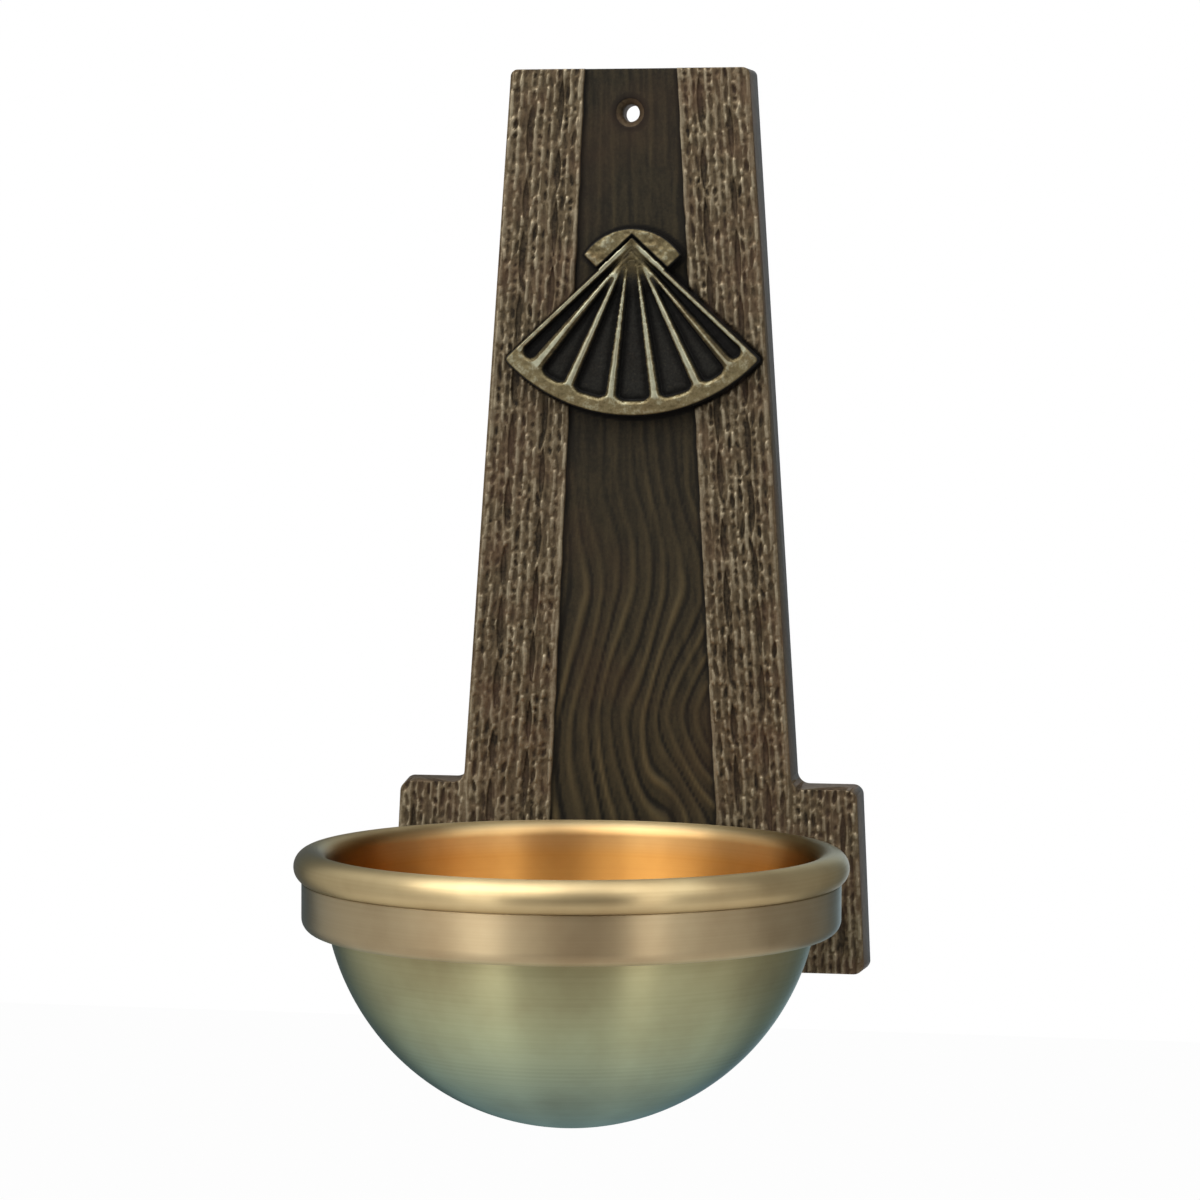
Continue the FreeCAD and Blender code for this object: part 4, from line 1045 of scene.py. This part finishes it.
def threaded_rod(radius, bottom, top, pitch, plain=0.0):
    """Rod with a helical thread between two heights, plain over its first stretch, with a chamfered end."""
    rows = int((top - bottom) / pitch * 10) + 1
    heights = np.linspace(bottom, top, rows)[:, None]
    angles = circle_angles(ROD_SIDES)
    wave = np.abs((heights / pitch + angles / (2 * math.pi)) % 1 * 2 - 1)
    fade = np.clip((heights - bottom - plain) / pitch, 0, 1)
    size = radius - THREAD_DEPTH * fade * np.clip(wave * 1.3 - 0.15, 0, 1)
    size = np.minimum(size, radius - 0.45 + (top - heights))
    ring = np.arange(ROD_SIDES)
    faces = grid_faces(rows, ROD_SIDES, wrap=True) + [ring[::-1], ring + (rows - 1) * ROD_SIDES]
    return tidy_mesh(make_piece("rod", round_points(size, heights, angles), faces))


def slotted_screw(reach, radius, head, head_high, pitch, plain):
    """Pan-head screw along +Z from the underside of its head, with a driving slot."""
    dome = [(0, -head_high), (head * 0.55, -head_high * 0.98), (head * 0.85, -head_high * 0.72),
            (head, -head_high * 0.3), (head, 0, 0.15), (radius - 0.3, 0), (radius - 0.3, 1), (0, 1)]
    slot = prism("slot", rectangle(head + 1, head * 0.13), 0, head_high)
    place(slot, Matrix.Translation((0, 0, -head_high * 0.55)) @ turn(90, "X"))
    screw = combine(lathe("screw", soften(dome), 40), slot, "DIFFERENCE")
    return smooth(combine(screw, threaded_rod(radius, -0.3, reach, pitch, plain), "UNION"), 32)


def washer(radius, bore):
    """Flat washer with softened edges, from height 0 up."""
    soft = 0.2
    high = WASHER_THICK
    outline = [(bore, high / 2), (bore, 0, soft), (radius, 0, soft), (radius, high, soft), (bore, high, soft),
               (bore, high / 2 + 0.01)]
    return smooth(lathe("washer", soften(outline)), 32)


def hex_nut():
    """Chamfered hexagon nut with a threaded hole, from height 0 up."""
    half = NUT_FLATS / 2
    reach = NUT_FLATS / math.sqrt(3)
    nut = place(prism("nut", arc((0, 0), reach, 0, 2 * math.pi, 6)[:-1], NUT_THICK, 0), LYING)
    slope = (reach - half) * 0.75
    chamfer = [(0, 0), (half, 0), (reach + 0.2, slope), (reach + 0.2, NUT_THICK - slope),
               (half, NUT_THICK), (0, NUT_THICK)]
    combine(nut, lathe("chamfer", chamfer, 64), "INTERSECT")
    combine(nut, threaded_rod(STUD_RADIUS + 0.05, -1, NUT_THICK + 3, STUD_PITCH), "DIFFERENCE")
    return smooth(nut, 28)


def make_fasteners(steel):
    """Every screw, washer and nut, each pair in one piece as in its node."""
    def pair(name, node, spots, make, *sizes):
        stands_for(join(name, [place(make(*sizes), spot) for spot in spots]), node, "stoup", steel)

    def behind_plate(across, drops_from, drops, lift, turned=Matrix()):
        return [into_wall(across, lift, drops_from - drop) @ turned for drop in drops]

    back = HOLLOW_DEPTH
    on_washer = back - WASHER_THICK
    stud = SHELL_SHIFT, FAN_POINT, STUD_DROPS
    fixing = 0, SEAT_Z, FIXING_DROPS
    reach = WASHER_THICK + PLATE_FACE - CHANNEL_DEPTH - back + FIXING_GRIP
    radial = [holder_place(-bearing) @ Matrix.Translation((0, 0, HOLDER_FACE)) for bearing in HOLDER_BEARINGS]
    pair("stud_washers", "shell_washers", behind_plate(*stud, back), washer, *STUD_WASHER)
    pair("stud_nuts", "shell_nuts", behind_plate(*stud, on_washer), hex_nut)
    pair("fixing_washers", "bracket_washers", behind_plate(*fixing, back), washer, *FIXING_WASHER)
    forwards = behind_plate(*fixing, on_washer, turn(180, "X"))
    pair("fixing_screws", "bracket_screws", forwards, slotted_screw, reach, *FIXING_SCREW)
    pair("holder_screws", "bowl_screws", radial, slotted_screw, HOLDER_REACH - HOLDER_FACE, *HOLDER_SCREW)


def add_studs(shell):
    """The two threaded studs cast on the shell's back."""
    for drop in STUD_DROPS:
        rod = threaded_rod(STUD_RADIUS, -1.0, STUD_REACH, STUD_PITCH, 5.0)
        combine(shell, place(rod, into_wall(SHELL_SHIFT, SHELL_BACK, FAN_POINT - drop)), "UNION")


# ---- studio
CAMERA_PLACE = (0.21014, -1.212, -0.08616)
CAMERA_YAW = 10.321
CAMERA_PITCH = 3.017
CAMERA_ROLL = 0.234
CAMERA_LENS = 118.17
WORLD_LIGHT = 0.45
FLOOR_HALF = 6000.0
FLOOR_DROP = 1000.0
FLOOR_GLOW = 0.97
STOUP_MIDDLE = (0.0, -0.07, -0.15)
# Lamps: place in metres, width and height, power and colour.
LAMPS = [
    ("key", (-0.78, -1.22, 1.1), 1.9, 1.9, 29.0, (1.0, 0.98, 0.95)),
    ("fill", (1.1, -0.9, 1.1), 1.3, 1.3, 5.5, (0.93, 0.97, 1.0)),
    ("top", (0.0, -0.5, 1.1), 1.4, 1.0, 5.0, (1.0, 1.0, 1.0)),
]
# Grey cards seen only in reflections, two bright soft boxes, five dim flags and an apron: bearing from the
# front (positive to the right) and width in degrees, bottom and top in metres, brightness.
CARDS = [
    ("soft_box_left", -26, 13, -1.3, 0.6, 1.5),
    ("soft_box_right", 43, 13, -1.3, 0.6, 1.65),
    ("flag_front", 9, 54, -0.75, 0.6, 0.1),
    ("apron_front", 9, 54, -1.3, -0.75, 0.3),
    ("flag_left", -80, 90, -1.3, 0.6, 0.6),
    ("flag_right", 72, 44, -1.3, 0.2, 0.48),
    ("flag_back_left", -148, 46, -1.3, 2.4, 0.25),
    ("flag_back_right", 130, 72, -1.3, 2.4, 0.34),
]
CARD_DISTANCE = 1.45


def make_camera():
    """Long lens from the front, a little to the right and above the bowl's rim."""
    data = bpy.data.cameras.new("camera")
    data.sensor_width = 36.0
    data.lens = CAMERA_LENS
    data.clip_start = 0.05
    camera = new_object("camera", data)
    camera.matrix_world = Matrix.Translation(CAMERA_PLACE)
    for angle, axis in ((CAMERA_YAW, "Z"), (90 - CAMERA_PITCH, "X"), (CAMERA_ROLL, "Z")):
        camera.matrix_world @= turn(angle, axis)
    bpy.context.scene.camera = camera


def make_world():
    """White to the camera and in reflections, dimmer as a light."""
    graph = Graph("studio", world=True)
    graph.set(Color=(1.0, 1.0, 1.0), Strength=graph.spread(graph.backdrop(), 0.0, 1.0, WORLD_LIGHT, 1.0))
    bpy.context.scene.world = graph.owner


def make_floor():
    """Plain pale floor, as far down as such a stoup hangs, white to the camera but for its shadow."""
    corners = [(x, y, PLATE_FOOT - FLOOR_DROP) for x, y in rectangle(FLOOR_HALF, FLOOR_HALF)]
    floor = make_piece("floor", corners, [range(4)])
    graph = Graph("floor")
    graph.set(Base_Color=(0.85, 0.85, 0.84), Roughness=0.8)
    blend = graph.add("MixShader", Fac=graph.math("MULTIPLY", graph.backdrop(), FLOOR_GLOW))
    graph.put(blend, 1, graph.shader.outputs[0])
    graph.put(blend, 2, graph.glow(1.0))
    graph.show(blend.outputs[0])
    paint(floor, graph.owner)


def add_lamp(name, spot, width, height, power, colour):
    """Rectangular lamp that faces the stoup's middle."""
    data = bpy.data.lights.new(name, "AREA")
    data.shape = "RECTANGLE"
    data.size = width
    data.size_y = height
    data.energy = power
    data.color = colour
    turned = (Vector(STOUP_MIDDLE) - Vector(spot)).to_track_quat("-Z", "Y").to_matrix().to_4x4()
    new_object(name, data).matrix_world = Matrix.Translation(spot) @ turned


def add_card(name, bearing, width, bottom, top, brightness):
    """Upright card at a distance from the bowl's axis. It shows only in reflections."""
    half = CARD_DISTANCE * math.tan(math.radians(width) / 2) / MM
    corners = [(x, 0, z) for x, z in rectangle(half, (top - bottom) / MM / 2)]
    card = make_piece(name, corners, [range(4)])
    graph = Graph(name)
    graph.show(graph.glow(brightness))
    paint(card, graph.owner)
    axis = Matrix.Translation((0, BOWL_AXIS_Y * MM, (top + bottom) / 2))
    card.matrix_world = axis @ turn(bearing, "Z") @ Matrix.Translation((0, -CARD_DISTANCE, 0))
    for kind in ("camera", "diffuse", "transmission", "shadow"):
        setattr(card, "visible_" + kind, False)


# ---- the stoup
make_camera()
make_world()
make_floor()
for lamp in LAMPS:
    add_lamp(*lamp)
for card in CARDS:
    add_card(*card)

plated_steel = mottled(
    "plated_steel", (500.0,), 1.0, (0.3, 0.42), (0.02, 0.4),
    (0.3, (165, 168, 172)), (0.7, (205, 206, 204)), grain=2500.0,
)
sealing_rubber = mottled(
    "sealing_rubber", (400.0, 4.0), 0.0, (0.65, 0.85), (0.05, 0.5),
    (0.35, (24, 24, 25)), (0.75, (52, 51, 50)),
)
bracket_bronze = mottled(
    "bracket_bronze", (700.0, 5.0, 0.7), 0.9, (0.58, 0.42), (0.2, 0.6),
    (0.3, BRONZE_DARK), (0.55, BRONZE_BROWN), (0.8, (134, 118, 92)),
)
# Painted reflection: the outer bowl's tint by height, tan at the band to olive and blue-grey at the bottom,
# stands for what it reflects.
satin_brass = turned_brass(
    "satin_brass", "outer_bowl", 0.42, (0.36, 0.52, 0.64), None,
    (0.0, (114, 131, 124)),
    (0.2, (135, 148, 130)),
    (0.5, (175, 179, 143)),
    (0.78, (188, 181, 138)),
    (0.82, (190, 170, 134)),
)
# Painted reflection and highlight: orange inside the bead for light bounced in the bowl, and a paler top for
# the bead's whitish highlights.
bright_brass = turned_brass(
    "bright_brass", "liner", 0.37, (0.4, 0.48, 0.52), linear(204, 151, 80),
    (0.0, (208, 154, 82)), (1.0, (206, 186, 142)),
)
stands_for(make_plate(), "back_plate", "stoup", cast_bronze())
shell_casting = make_shell()
add_studs(shell_casting)
stands_for(shell_casting, "scallop_shell", "stoup", shell_bronze())
stands_for(make_outer_bowl(), "outer_bowl", "stoup", satin_brass)
stands_for(make_liner(), "liner", "liner", bright_brass)
make_fasteners(plated_steel)
paint(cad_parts["bowl_bracket"], bracket_bronze)
paint(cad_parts["bowl_washers"], sealing_rubber)

bpy.context.scene.view_settings.view_transform = "Standard"
